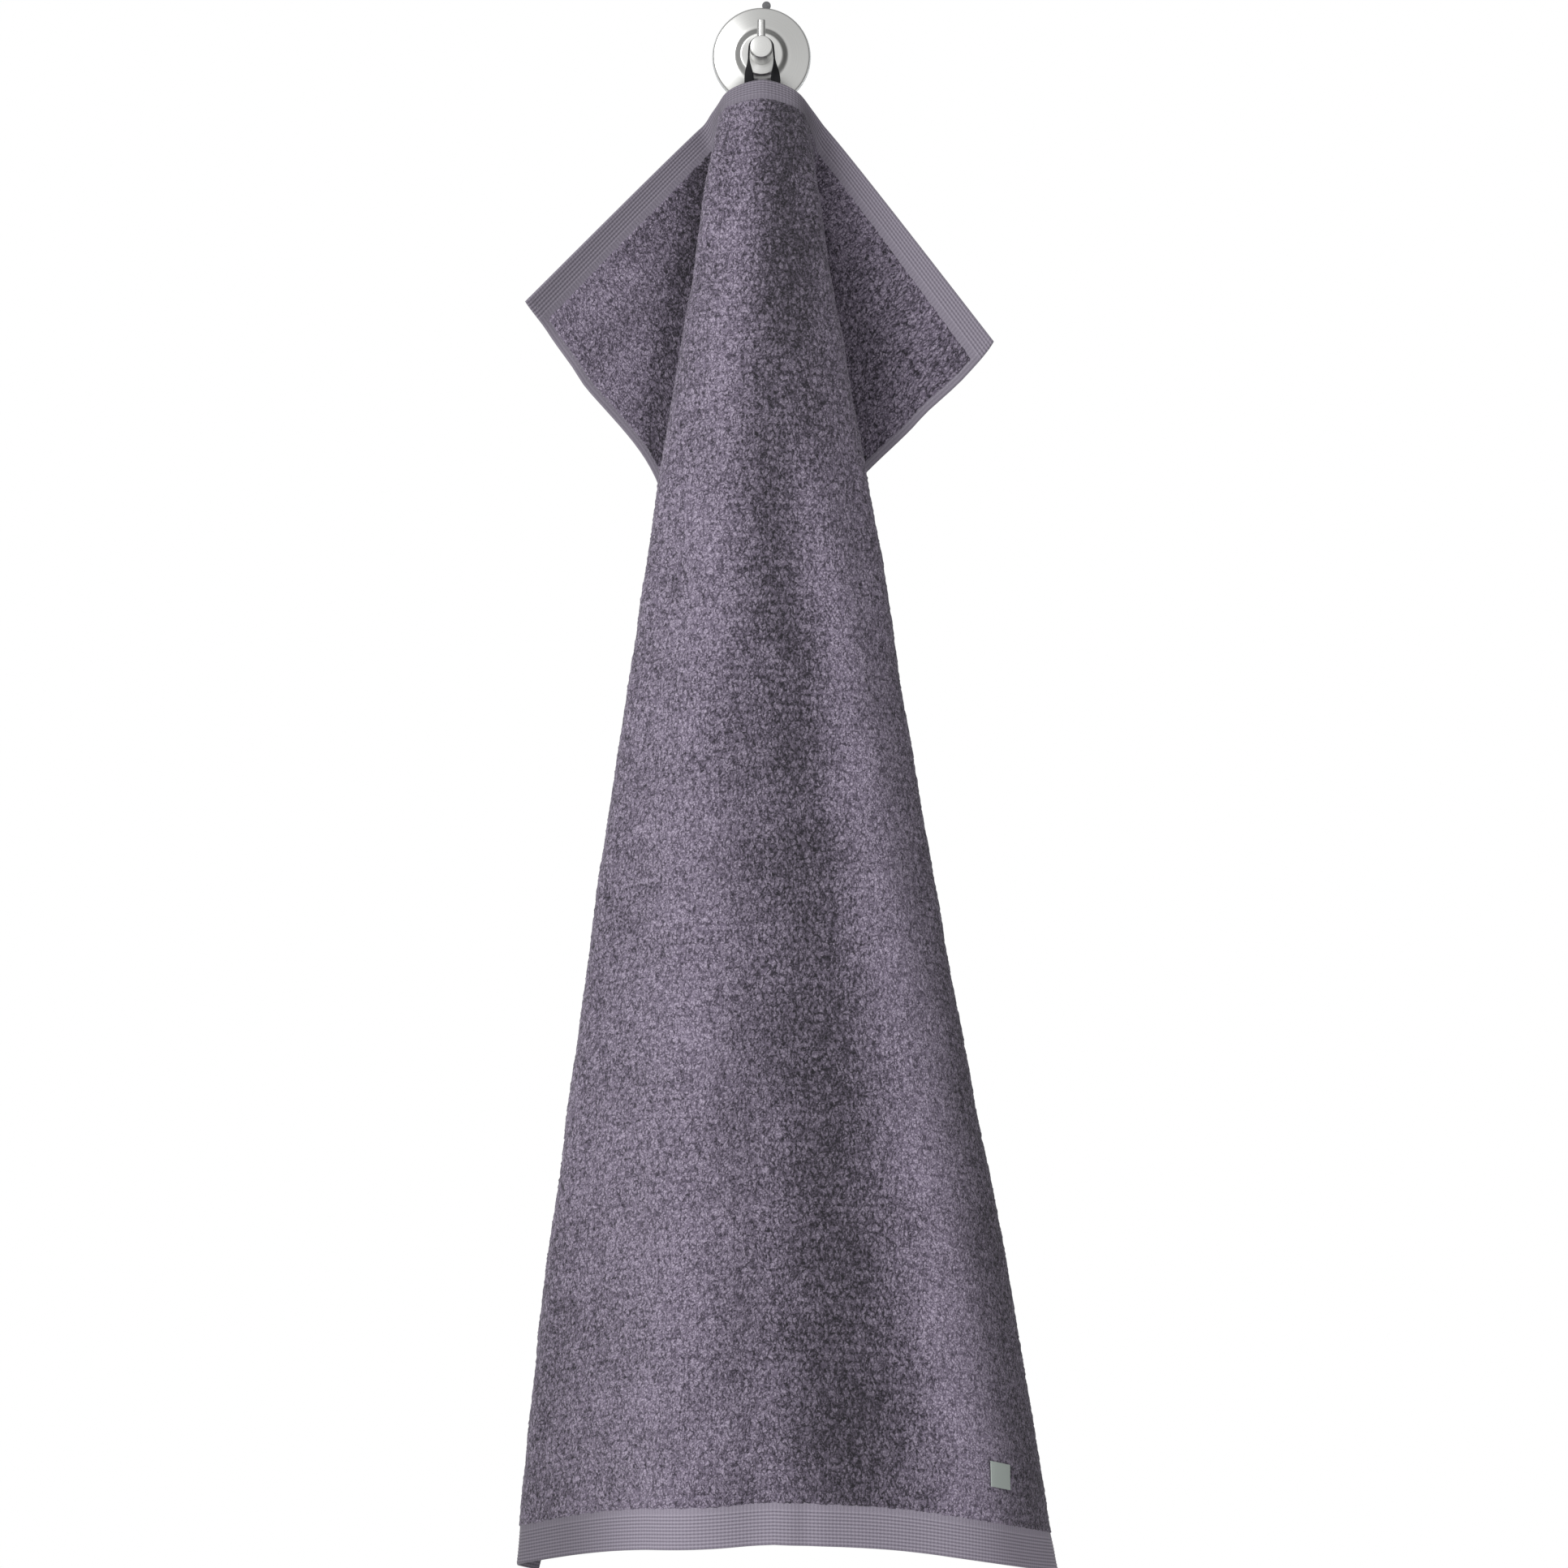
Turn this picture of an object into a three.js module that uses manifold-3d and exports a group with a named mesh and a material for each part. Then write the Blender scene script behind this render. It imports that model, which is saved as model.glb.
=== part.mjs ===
// Terry hand towel hanging by its tape loop from a stainless suction hook.
// Millimetres, +Z up. The origin is the middle of the suction cup's flat back,
// the wall plane is y = 0 and the front of the towel faces -Y.

import * as THREE from 'three';
import { mergeVertices } from 'three/addons/utils/BufferGeometryUtils.js';
import Module from 'manifold-3d';

// Towel: the flat cloth and its hems
const TOWEL_WIDTH = 500;
const TOWEL_LENGTH = 1000;
const HALF_WIDTH = TOWEL_WIDTH / 2;
const PILE_HALF = 2.3;
const HEM_HALF = 1.1;
const TOP_HEM = 19;
const BOTTOM_HEM = 28;
const SIDE_HEM = 6;
const HEM_STEP = 4;
const ACROSS_CELLS = 54;
const DOWN_CELLS = 44;
const WALK_STEP = 2;

// Hook
const CUP_RADIUS = 34.2;
const CAP_RADIUS = 33.6;
const CAP_RIM_Y = -2.5;
const CAP_WALL = 1.2;
const DOME_RADIUS = 19.5;
const DOME_Y = -11.8;
const BOSS_RADIUS = 14.8;
const BOSS_Y = -15.2;
const PEG_RADIUS = 7.6;
const PEG_END_Y = -46;
const PEG_EDGE = 0.8;
const PIN_RADIUS = 2.85;
const PIN_Y = -40;
const PIN_TOP_Z = 19;
const PIN_DEPTH = 4;
const TAB_WIDTH = 6;
const TAB_X = 3.4;
const TAB_TOP_Z = 38.6;
const TAB_THICKNESS = 2;
const CLEARANCE = 0.3;
const ROUND_STEPS = 56;

// Hanger loop: a flat woven tape over the peg, sewn behind the top hem
const TAPE_WIDTH = 6.6;
const TAPE_THICKNESS = 1.2;
const TAPE_Y = -32.5;
const TAPE_FOOT_U = 10.8;
const TAPE_SEWN = 12;
const TAPE_GAP = 1.4;
const TAPE_STEPS = 40;

// Label: a plain woven rectangle sewn on the pile near the lower corner
const LABEL_WIDTH = 21;
const LABEL_HEIGHT = 17;
const LABEL_THICKNESS = 0.9;
const LABEL_U = 162;
const LABEL_DOWN = 940;
const LABEL_CELLS = 8;

// The towel hangs in sections across its width, numbered down the cloth. Each half runs out
// from the middle: over a crest, round a fold to the wall behind it, and past a valley to a
// flap. Angles are in degrees in plan, 0 along the wall outwards and 90 towards the wall.
//   down      distance of the section below the top hem
//   crestAt   where the front crest is, measured along the cloth from the middle
//   dip       how far the cloth comes forward before the crest
//   lean      how far it falls back after the crest
//   wall      which way it runs behind the fold
//   flap      which way the flap runs past the valley
//   drop      how far the side edge hangs below the middle
//   dropFrom  where that fall begins
const SECTION_COLUMNS = ['down', 'crestAt', 'dip', 'lean', 'wall', 'flap', 'drop', 'dropFrom'];
const LEFT_SECTIONS = [
  [0, 10, 2, 12, 50, -17, 154, 17],
  [25, 11, 5, 22, 88, -12, 153, 27],
  [60, 12, 8, 24, 119, -8, 149, 50],
  [150, 16, 12, 29, 146, 0, 130, 95],
  [280, 24, 16, 31, 152, 2, 124, 96],
  [420, 36, 20, 31, 156, 2, 114, 112],
  [600, 46, 22, 32.5, 156, 2, 84, 138],
  [800, 52, 22, 34.5, 152, 2, 55, 130],
  [1000, 54, 16, 41, 140, 2, 39, 110],
];
const RIGHT_SECTIONS = [
  [0, 10, 2, 12, 36, 1, 178, 18],
  [25, 12, 3, 24, 76, 1, 179, 24],
  [60, 14, 2, 30, 110, 1, 178, 44],
  [150, 20, 0, 34, 147, 1, 154, 84],
  [280, 32, -4, 36, 153, 2, 127, 100],
  [420, 52, -4, 42, 157, 2, 116, 118],
  [600, 80, -4, 48, 154, 2, 84, 148],
  [800, 112, -5, 47, 138, 2, 55, 140],
  [1000, 146, -10, 54, 92, 2, 38, 50],
];

// Path of the towel's middle line
const MIDDLE_COLUMNS = ['down', 'x', 'y', 'z'];
const MIDDLE = [
  [0, 0.6, -33, -21],
  [25, 0.8, -47, -41.5],
  [60, 1, -60, -74],
  [150, 1.5, -75, -161.5],
  [280, 2.5, -92, -288],
  [420, 4, -100, -428.5],
  [600, 6, -106, -609],
  [800, 8, -121, -809],
  [1000, 9, -134, -1009.5],
];

// Fold and valley are straight lines on the flat cloth, spreading outwards from the hook.
const SIDES = {
  left: {
    sign: -1,
    sections: LEFT_SECTIONS,
    foldSlope: 0.197,
    valleyTop: 60,
    valleySlope: 0.44,
    gathered: 0.056,
    foldBend: { top: 22, waist: 32, bottom: 54 },
  },
  right: {
    sign: 1,
    sections: RIGHT_SECTIONS,
    foldSlope: 0.205,
    valleyTop: 54,
    valleySlope: 0.535,
    gathered: 0.016,
    foldBend: { top: 26, waist: 42, bottom: 54 },
  },
};
const FOLD_TOP = 27;

// Length of cloth that each bend takes: at the top hem, below the flaps and at the bottom
const CREST_BEND = { top: 20, waist: 40, bottom: 74 };
const VALLEY_BEND = { top: 16, waist: 32, bottom: 32 };
const MIDDLE_ROUND = 26;
const DROP_ROUND_TOP = 18;
const DROP_ROUND_SLOPE = 0.074;

// A soft trough down the front, between the left crest and a ridge on the right
const TROUGH_AT = -20;
const TROUGH_SLOPE = 0.125;
const TROUGH_HALF = -12;
const TROUGH_SPREAD = 0.12;
const TROUGH_DEPTH = 0.12;
const TROUGH_FROM = 260;

// Fine gathers draw the top band in, and are gone a little below it
const DRAWN_TO = 40;
const DRAWN_FADE = 70;

// Small gathers under the hook, fading down and outwards
const GATHER_ANGLE = 9;
const GATHER_PITCH = 26;
const GATHER_SPREAD = 0.1;
const GATHER_REACH = 110;
const GATHER_EDGE = 60;

function softStep(value, at, width) {
  const t = THREE.MathUtils.clamp((value - at) / width + 0.5, 0, 1);
  return t * t * (3 - 2 * t);
}

function bendWidth(bend, down) {
  const toWaist = (bend.waist - bend.top) * softStep(down, 90, 180);
  const toBottom = (bend.bottom - bend.waist) * softStep(down, 450, 900);
  return bend.top + toWaist + toBottom;
}

// Smooth value of one table column at a distance down the cloth
function along(table, columns, name, down) {
  const k = columns.indexOf(name);
  const last = table.length - 1;
  let i = 0;
  while (i < last - 1 && table[i + 1][0] <= down) i += 1;
  const slope = (j) => {
    const a = Math.max(j - 1, 0);
    const b = Math.min(j + 1, last);
    return (table[b][k] - table[a][k]) / (table[b][0] - table[a][0]);
  };
  const h = table[i + 1][0] - table[i][0];
  const s = (down - table[i][0]) / h;
  const start = (2 * s ** 3 - 3 * s ** 2 + 1) * table[i][k] + (s ** 3 - 2 * s ** 2 + s) * h * slope(i);
  const end = (3 * s ** 2 - 2 * s ** 3) * table[i + 1][k] + (s ** 3 - s ** 2) * h * slope(i + 1);
  return start + end;
}

// One half of a section: walks outwards along the cloth and keeps its true length
function walkHalf(side, down) {
  const column = (name) => along(side.sections, SECTION_COLUMNS, name, down);
  const crestAt = column('crestAt');
  const dip = column('dip');
  const lean = column('lean');
  const wall = column('wall');
  const flap = column('flap');
  const drop = column('drop');
  const dropFrom = column('dropFrom');
  const foldAt = FOLD_TOP + side.foldSlope * down;
  const valleyAt = side.valleyTop + side.valleySlope * down;
  const crestWidth = bendWidth(CREST_BEND, down);
  const foldWidth = bendWidth(side.foldBend, down);
  const valleyWidth = bendWidth(VALLEY_BEND, down);
  const dropRound = DROP_ROUND_TOP + DROP_ROUND_SLOPE * down;
  const gather = GATHER_ANGLE * Math.exp(-down / GATHER_REACH);
  const pitch = GATHER_PITCH + GATHER_SPREAD * down;
  const drawn = 1 - side.gathered * (1 - softStep(down, DRAWN_TO, DRAWN_FADE));

  const ramp = (s) => ((s - dropFrom) + Math.hypot(s - dropFrom, dropRound)) / 2;
  const fall = (s) => (drop * (ramp(s) - ramp(0))) / (ramp(HALF_WIDTH) - ramp(0));
  const angle = (s) => {
    let a = -dip * softStep(s, MIDDLE_ROUND / 2, MIDDLE_ROUND);
    a += (dip + lean) * softStep(s, crestAt, crestWidth);
    a += (wall - lean) * softStep(s, foldAt, foldWidth);
    a += (flap - wall) * softStep(s, valleyAt, valleyWidth);
    a += gather * Math.sin((2 * Math.PI * s) / pitch) * (1 - softStep(s, GATHER_EDGE, GATHER_EDGE));
    return THREE.MathUtils.degToRad(a);
  };

  const points = [new THREE.Vector3(0, 0, 0)];
  for (let s = WALK_STEP; s <= HALF_WIDTH; s += WALK_STEP) {
    const before = points[points.length - 1];
    const fallen = fall(s);
    const level = Math.sqrt((drawn * WALK_STEP) ** 2 - (fallen + before.z) ** 2);
    const way = angle(s - WALK_STEP / 2);
    points.push(new THREE.Vector3(
      before.x + side.sign * Math.cos(way) * level,
      before.y + Math.sin(way) * level,
      -fallen,
    ));
  }
  return points;
}

// How far the trough sets the front back towards the wall
function trough(u, down) {
  const half = Math.max(TROUGH_HALF + TROUGH_SPREAD * down, 20);
  const place = THREE.MathUtils.clamp((u - TROUGH_AT - TROUGH_SLOPE * down) / half, -1, 1);
  const depth = TROUGH_DEPTH * half * softStep(down, TROUGH_FROM, 240);
  return (depth * (1 + Math.cos(Math.PI * place))) / 2;
}

// A whole section, read at any distance u across the cloth, negative to the left
function section(down) {
  const middle = new THREE.Vector3(
    along(MIDDLE, MIDDLE_COLUMNS, 'x', down),
    along(MIDDLE, MIDDLE_COLUMNS, 'y', down),
    along(MIDDLE, MIDDLE_COLUMNS, 'z', down),
  );
  const halves = { left: walkHalf(SIDES.left, down), right: walkHalf(SIDES.right, down) };
  return (u) => {
    const points = u < 0 ? halves.left : halves.right;
    const place = Math.min(Math.abs(u), HALF_WIDTH) / WALK_STEP;
    const i = Math.min(Math.floor(place), points.length - 2);
    const setBack = new THREE.Vector3(0, trough(u, down), 0);
    return points[i].clone().lerp(points[i + 1], place - i).add(middle).add(setBack);
  };
}

// Point and outward normal of the cloth's middle surface at (u, down)
function clothAt(u, down) {
  const reach = 4;
  const above = section(Math.max(down - reach, 0));
  const below = section(Math.min(down + reach, TOWEL_LENGTH));
  const here = section(down);
  const across = here(Math.min(u + reach, HALF_WIDTH)).sub(here(Math.max(u - reach, -HALF_WIDTH)));
  const downwards = below(u).sub(above(u));
  return { point: here(u), normal: downwards.cross(across).normalize() };
}

// The hems are bare weave and the rest carries pile on both faces
function halfThickness(u, down) {
  const fromSide = softStep(HALF_WIDTH - Math.abs(u), SIDE_HEM + HEM_STEP / 2, HEM_STEP);
  const fromTop = softStep(down, TOP_HEM + HEM_STEP / 2, HEM_STEP);
  const fromBottom = softStep(TOWEL_LENGTH - down, BOTTOM_HEM + HEM_STEP / 2, HEM_STEP);
  return HEM_HALF + (PILE_HALF - HEM_HALF) * Math.min(fromSide, fromTop, fromBottom);
}

// Positions from one edge to the other, with lines kept at the hem's step
function gridLines(length, cells, startHem, endHem) {
  const lines = [0, startHem, startHem + HEM_STEP];
  const last = length - endHem - HEM_STEP;
  for (let i = 1; i < cells; i += 1) lines.push(THREE.MathUtils.lerp(lines[2], last, i / cells));
  lines.push(last, length - endHem, length);
  return lines;
}

// Closed solid between a front and a back grid of points
function sheetGeometry(front, back) {
  const rows = front.length;
  const columns = front[0].length;
  const corners = [...front.flat(), ...back.flat()];
  const positions = corners.flatMap((p) => [p.x, p.y, p.z]);
  const index = [];
  const f = (r, c) => r * columns + c;
  const b = (r, c) => rows * columns + r * columns + c;
  const quad = (p, q, r, s) => index.push(p, q, r, p, r, s);
  for (let r = 0; r + 1 < rows; r += 1) {
    for (let c = 0; c + 1 < columns; c += 1) {
      quad(f(r, c), f(r + 1, c), f(r + 1, c + 1), f(r, c + 1));
      quad(b(r, c), b(r, c + 1), b(r + 1, c + 1), b(r + 1, c));
    }
    quad(f(r, 0), b(r, 0), b(r + 1, 0), f(r + 1, 0));
    quad(f(r + 1, columns - 1), b(r + 1, columns - 1), b(r, columns - 1), f(r, columns - 1));
  }
  for (let c = 0; c + 1 < columns; c += 1) {
    quad(f(0, c + 1), b(0, c + 1), b(0, c), f(0, c));
    quad(f(rows - 1, c), b(rows - 1, c), b(rows - 1, c + 1), f(rows - 1, c + 1));
  }
  const geometry = new THREE.BufferGeometry();
  geometry.setAttribute('position', new THREE.Float32BufferAttribute(positions, 3));
  geometry.setIndex(index);
  geometry.computeVertexNormals();
  return geometry;
}

function towelGeometry() {
  const across = gridLines(TOWEL_WIDTH, ACROSS_CELLS, SIDE_HEM, SIDE_HEM).map((x) => x - HALF_WIDTH);
  const downs = gridLines(TOWEL_LENGTH, DOWN_CELLS, TOP_HEM, BOTTOM_HEM);
  downs.splice(1, 0, TOP_HEM / 2);
  const front = [];
  const back = [];
  for (const down of downs) {
    const cloth = across.map((u) => ({ u, ...clothAt(u, down) }));
    const face = (way) => cloth.map(({ u, point, normal }) =>
      point.clone().addScaledVector(normal, way * halfThickness(u, down)));
    front.push(face(1));
    back.push(face(-1));
  }
  return sheetGeometry(front, back);
}

// The label follows the pile's surface, a clearance above it, with rounded corners
function labelGeometry() {
  const front = [];
  const back = [];
  for (let r = 0; r <= LABEL_CELLS; r += 1) {
    const rowFront = [];
    const rowBack = [];
    for (let c = 0; c <= LABEL_CELLS; c += 1) {
      const x = (2 * c) / LABEL_CELLS - 1;
      const y = (2 * r) / LABEL_CELLS - 1;
      const u = LABEL_U + (LABEL_WIDTH / 2) * x * (1 - 0.04 * y ** 8);
      const down = LABEL_DOWN + (LABEL_HEIGHT / 2) * y * (1 - 0.04 * x ** 8);
      const { point, normal } = clothAt(u, down);
      const lift = PILE_HALF + CLEARANCE;
      rowBack.push(point.clone().addScaledVector(normal, lift));
      rowFront.push(point.clone().addScaledVector(normal, lift + LABEL_THICKNESS));
    }
    front.push(rowFront);
    back.push(rowBack);
  }
  return sheetGeometry(front, back);
}

// Tape: up from behind the hem, round the peg and down again, turning to lie flat on the hem
function loopGeometry() {
  const lift = PEG_RADIUS + CLEARANCE + TAPE_THICKNESS / 2;
  const under = HEM_HALF + TAPE_GAP + TAPE_THICKNESS / 2;
  const foot = (u, down) => {
    const { point, normal } = clothAt(u, down);
    return point.addScaledVector(normal, -under);
  };
  const arc = (turn) => {
    const a = THREE.MathUtils.degToRad(turn);
    return new THREE.Vector3(Math.sin(a) * lift, TAPE_Y, Math.cos(a) * lift);
  };
  const route = new THREE.CatmullRomCurve3([
    foot(-TAPE_FOOT_U, TAPE_SEWN),
    foot(-TAPE_FOOT_U, TAPE_SEWN / 2),
    foot(-TAPE_FOOT_U, 0).add(new THREE.Vector3(0, 1, 2)),
    ...[-96, -64, -32, 0, 32, 64, 96].map(arc),
    foot(TAPE_FOOT_U, 0).add(new THREE.Vector3(0, 1, 2)),
    foot(TAPE_FOOT_U, TAPE_SEWN / 2),
    foot(TAPE_FOOT_U, TAPE_SEWN),
  ], false, 'centripetal');
  const front = [];
  const back = [];
  for (let i = 0; i <= TAPE_STEPS; i += 1) {
    const t = i / TAPE_STEPS;
    const point = route.getPointAt(t);
    const tangent = route.getTangentAt(t);
    const fromTop = Math.abs(t - 0.5) * 2;
    const twist = (Math.PI / 2) * softStep(fromTop, 0.55, 0.4) * Math.sign(t - 0.5);
    const aim = new THREE.Vector3(Math.sin(twist), Math.cos(twist), 0);
    const wide = aim.addScaledVector(tangent, -aim.dot(tangent)).normalize();
    const thick = new THREE.Vector3().crossVectors(tangent, wide);
    const edge = (w, h) => point.clone()
      .addScaledVector(wide, (w * TAPE_WIDTH) / 2)
      .addScaledVector(thick, (h * TAPE_THICKNESS) / 2);
    front.push([edge(-1, 0.5), edge(-0.8, 1), edge(0.8, 1), edge(1, 0.5)]);
    back.push([edge(-1, -0.5), edge(-0.8, -1), edge(0.8, -1), edge(1, -0.5)]);
  }
  return sheetGeometry(front, back);
}

function lathe(profile) {
  return new THREE.LatheGeometry(profile.map(([r, y]) => new THREE.Vector2(r, y)), ROUND_STEPS);
}

function cupGeometry() {
  return lathe([
    [0, 0],
    [CUP_RADIUS, 0],
    [CUP_RADIUS, -0.6],
    [CUP_RADIUS - 1.6, -1.8],
    [CAP_RADIUS - 4, -3.4],
    [DOME_RADIUS + 3, -6.5],
    [BOSS_RADIUS - 3, -8.5],
    [0, -9],
  ].reverse());
}

// Pressed cap: a shallow dome with a raised boss, hollow behind
function capGeometry() {
  const outer = [
    [0, BOSS_Y],
    [BOSS_RADIUS, BOSS_Y],
    [BOSS_RADIUS + 1, BOSS_Y + 0.5],
    [BOSS_RADIUS + 2.2, DOME_Y - 1],
    [BOSS_RADIUS + 3, DOME_Y - 0.2],
    [DOME_RADIUS, DOME_Y],
  ];
  const domeSteps = 6;
  for (let i = 1; i <= domeSteps; i += 1) {
    const a = (i / domeSteps) * (Math.PI / 2);
    outer.push([
      DOME_RADIUS + (CAP_RADIUS - DOME_RADIUS) * Math.sin(a),
      CAP_RIM_Y - 1 + (DOME_Y - CAP_RIM_Y + 1) * Math.cos(a),
    ]);
  }
  outer.push([CAP_RADIUS, CAP_RIM_Y]);
  const inner = [
    [CAP_RADIUS - CAP_WALL, CAP_RIM_Y],
    [CAP_RADIUS - CAP_WALL, CAP_RIM_Y - 1],
    [CAP_RADIUS - 2.2, CAP_RIM_Y - 3],
    [DOME_RADIUS + 8, DOME_Y + 3],
    [DOME_RADIUS, DOME_Y + CAP_WALL],
    [BOSS_RADIUS, DOME_Y + CAP_WALL - 0.4],
    [BOSS_RADIUS - 1, BOSS_Y + CAP_WALL],
    [0, BOSS_Y + CAP_WALL],
  ];
  return lathe([...outer, ...inner]);
}

function pegGeometry() {
  return lathe([
    [0, PEG_END_Y],
    [PEG_RADIUS - PEG_EDGE, PEG_END_Y],
    [PEG_RADIUS - 0.3 * PEG_EDGE, PEG_END_Y + 0.3 * PEG_EDGE],
    [PEG_RADIUS, PEG_END_Y + PEG_EDGE],
    [PEG_RADIUS, BOSS_Y - CLEARANCE],
    [0, BOSS_Y - CLEARANCE],
  ]);
}

function pinGeometry() {
  const edge = 0.4;
  const geometry = new THREE.LatheGeometry([
    new THREE.Vector2(0, PEG_RADIUS - PIN_DEPTH + CLEARANCE),
    new THREE.Vector2(PIN_RADIUS, PEG_RADIUS - PIN_DEPTH + CLEARANCE),
    new THREE.Vector2(PIN_RADIUS, PIN_TOP_Z - edge),
    new THREE.Vector2(PIN_RADIUS - edge, PIN_TOP_Z),
    new THREE.Vector2(0, PIN_TOP_Z),
  ], ROUND_STEPS / 2);
  return geometry.rotateX(Math.PI / 2).translate(0, PIN_Y, 0);
}

function tabGeometry() {
  const half = TAB_WIDTH / 2;
  const foot = CUP_RADIUS + CLEARANCE;
  const shape = new THREE.Shape();
  shape.moveTo(-half, foot);
  shape.lineTo(half, foot);
  shape.lineTo(half, TAB_TOP_Z - half);
  shape.absarc(0, TAB_TOP_Z - half, half, 0, Math.PI, false);
  const geometry = new THREE.ExtrudeGeometry(shape, {
    depth: TAB_THICKNESS,
    bevelEnabled: false,
    curveSegments: 12,
  });
  return geometry.rotateX(Math.PI / 2).translate(TAB_X, 0, 0);
}

// Joined or cut solids
const wasm = await Module();
wasm.setup();

function toManifold(geometry) {
  const bare = geometry.clone();
  bare.deleteAttribute('normal');
  bare.deleteAttribute('uv');
  const welded = mergeVertices(bare, 1e-4);
  return new wasm.Manifold(new wasm.Mesh({
    numProp: 3,
    vertProperties: new Float32Array(welded.attributes.position.array),
    triVerts: new Uint32Array(welded.index.array),
  }));
}

function fromManifold(solid) {
  const mesh = solid.getMesh();
  const geometry = new THREE.BufferGeometry();
  geometry.setAttribute('position', new THREE.BufferAttribute(new Float32Array(mesh.vertProperties), 3));
  geometry.setIndex(new THREE.BufferAttribute(new Uint32Array(mesh.triVerts), 1));
  geometry.computeVertexNormals();
  return geometry;
}

// The peg has a blind hole on top that takes the pin
function drilledPegGeometry() {
  const radius = PIN_RADIUS + CLEARANCE;
  const hole = new THREE.CylinderGeometry(radius, radius, 2 * PIN_DEPTH, ROUND_STEPS / 2);
  hole.rotateX(Math.PI / 2).translate(0, PIN_Y, PEG_RADIUS);
  return fromManifold(toManifold(pegGeometry()).subtract(toManifold(hole)));
}

// Assembly
const towelOnHook = new THREE.Group();
towelOnHook.name = 'hand_towel_on_hook';

function addPiece(name, geometry, color, roughness, metalness) {
  const material = new THREE.MeshStandardMaterial({ color, roughness, metalness });
  material.name = `${name}_finish`;
  const mesh = new THREE.Mesh(geometry, material);
  mesh.name = name;
  towelOnHook.add(mesh);
}

addPiece('suction_cup', cupGeometry(), 0xe6eaec, 0.2, 0);
addPiece('release_tab', tabGeometry(), 0x56585a, 0.6, 0);
addPiece('cap', capGeometry(), 0xdadad8, 0.3, 1);
addPiece('peg', drilledPegGeometry(), 0xdadad8, 0.3, 1);
addPiece('pin', pinGeometry(), 0xdadad8, 0.25, 1);
addPiece('hanger_loop', loopGeometry(), 0x303032, 0.85, 0);
addPiece('towel', towelGeometry(), 0x746b7a, 0.95, 0);
addPiece('label', labelGeometry(), 0xb4bcb7, 0.8, 0);

export default towelOnHook;
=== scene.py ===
# %% [markdown]
# # A hand towel on a suction hook
#
# A terry hand towel hangs by its tape loop from a small stainless hook. The packed
# model gives the frame: where the wall is, where the peg ends and how the cloth hangs.
# Each cell below makes one thing, says why it is made that way, and prints what came out.

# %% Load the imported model
import math
import bpy
import numpy as np
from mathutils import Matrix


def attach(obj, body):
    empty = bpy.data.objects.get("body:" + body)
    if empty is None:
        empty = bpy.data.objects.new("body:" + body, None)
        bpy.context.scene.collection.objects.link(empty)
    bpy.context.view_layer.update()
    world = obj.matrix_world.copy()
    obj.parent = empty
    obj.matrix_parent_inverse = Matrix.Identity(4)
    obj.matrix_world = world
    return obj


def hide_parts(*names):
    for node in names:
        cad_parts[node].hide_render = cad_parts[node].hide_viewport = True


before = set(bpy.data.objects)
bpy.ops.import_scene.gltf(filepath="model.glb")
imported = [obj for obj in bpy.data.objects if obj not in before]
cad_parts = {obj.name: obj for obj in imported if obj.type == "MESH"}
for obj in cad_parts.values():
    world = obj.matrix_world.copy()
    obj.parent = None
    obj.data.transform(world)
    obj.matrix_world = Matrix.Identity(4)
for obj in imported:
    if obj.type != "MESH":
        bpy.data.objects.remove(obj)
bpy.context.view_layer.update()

MM = 0.001
bpy.ops.object.select_all(action="DESELECT")
print("nodes:", sorted(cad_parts))

# %% [markdown]
# ## How the cloth hangs
#
# The drape could be found by simulation, but a towel that hangs from one point settles
# into a shape that can be said in words: a front panel with a crest on each side, two
# folds where the cloth turns back, and two flaps that fall from the top corners. So each
# level line across the towel is walked outward from its middle, turning by a few angles.
# Every walk keeps its true length, apart from the top hem, where fine gathers at the loop
# draw the cloth in by a few hundredths.

# %% The sizes and the hanging form, in millimetres
WIDTH, LENGTH = 500.0, 1000.0
HALF = WIDTH / 2
TOP_HEM, BOTTOM_HEM, SIDE_HEM = 19.0, 28.0, 6.0

# down: distance from the top hem. crest_at: where the front turns back. dip, lean, wall,
# flap: plan angles of the middle, the panel's side, the turned-back part and the flap.
# drop: how far the side edge falls below the middle, starting at drop_from.
COLUMNS = ("down", "crest_at", "dip", "lean", "wall", "flap", "drop", "drop_from")
LEFT = np.array([
    (0, 10, 2, 12, 50, -17, 154, 17),
    (25, 11, 5, 22, 88, -12, 153, 27),
    (60, 12, 8, 24, 119, -8, 149, 50),
    (150, 16, 12, 29, 146, 0, 130, 95),
    (280, 24, 16, 31, 152, 2, 124, 96),
    (420, 36, 20, 31, 156, 2, 114, 112),
    (600, 46, 22, 32.5, 156, 2, 84, 138),
    (800, 52, 22, 34.5, 152, 2, 55, 130),
    (1000, 54, 16, 41, 140, 2, 39, 110),
], float)
RIGHT = np.array([
    (0, 10, 2, 12, 36, 1, 178, 18),
    (25, 12, 3, 24, 76, 1, 179, 24),
    (60, 14, 2, 30, 110, 1, 178, 44),
    (150, 20, 0, 34, 147, 1, 154, 84),
    (280, 32, -4, 36, 153, 2, 127, 100),
    (420, 52, -4, 42, 157, 2, 116, 118),
    (600, 80, -4, 48, 154, 2, 84, 148),
    (800, 112, -5, 47, 138, 2, 55, 140),
    (1000, 146, -10, 54, 92, 2, 38, 50),
], float)
# The line down the middle of the front: down, x, y, z.
MIDDLE = np.array([
    (0, 0.6, -33, -21),
    (25, 0.8, -47, -41.5),
    (60, 1, -60, -74),
    (150, 1.5, -75, -161.5),
    (280, 2.5, -92, -288),
    (420, 4, -100, -428.5),
    (600, 6, -106, -609),
    (800, 8, -121, -809),
    (1000, 9, -134, -1009.5),
], float)
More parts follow.
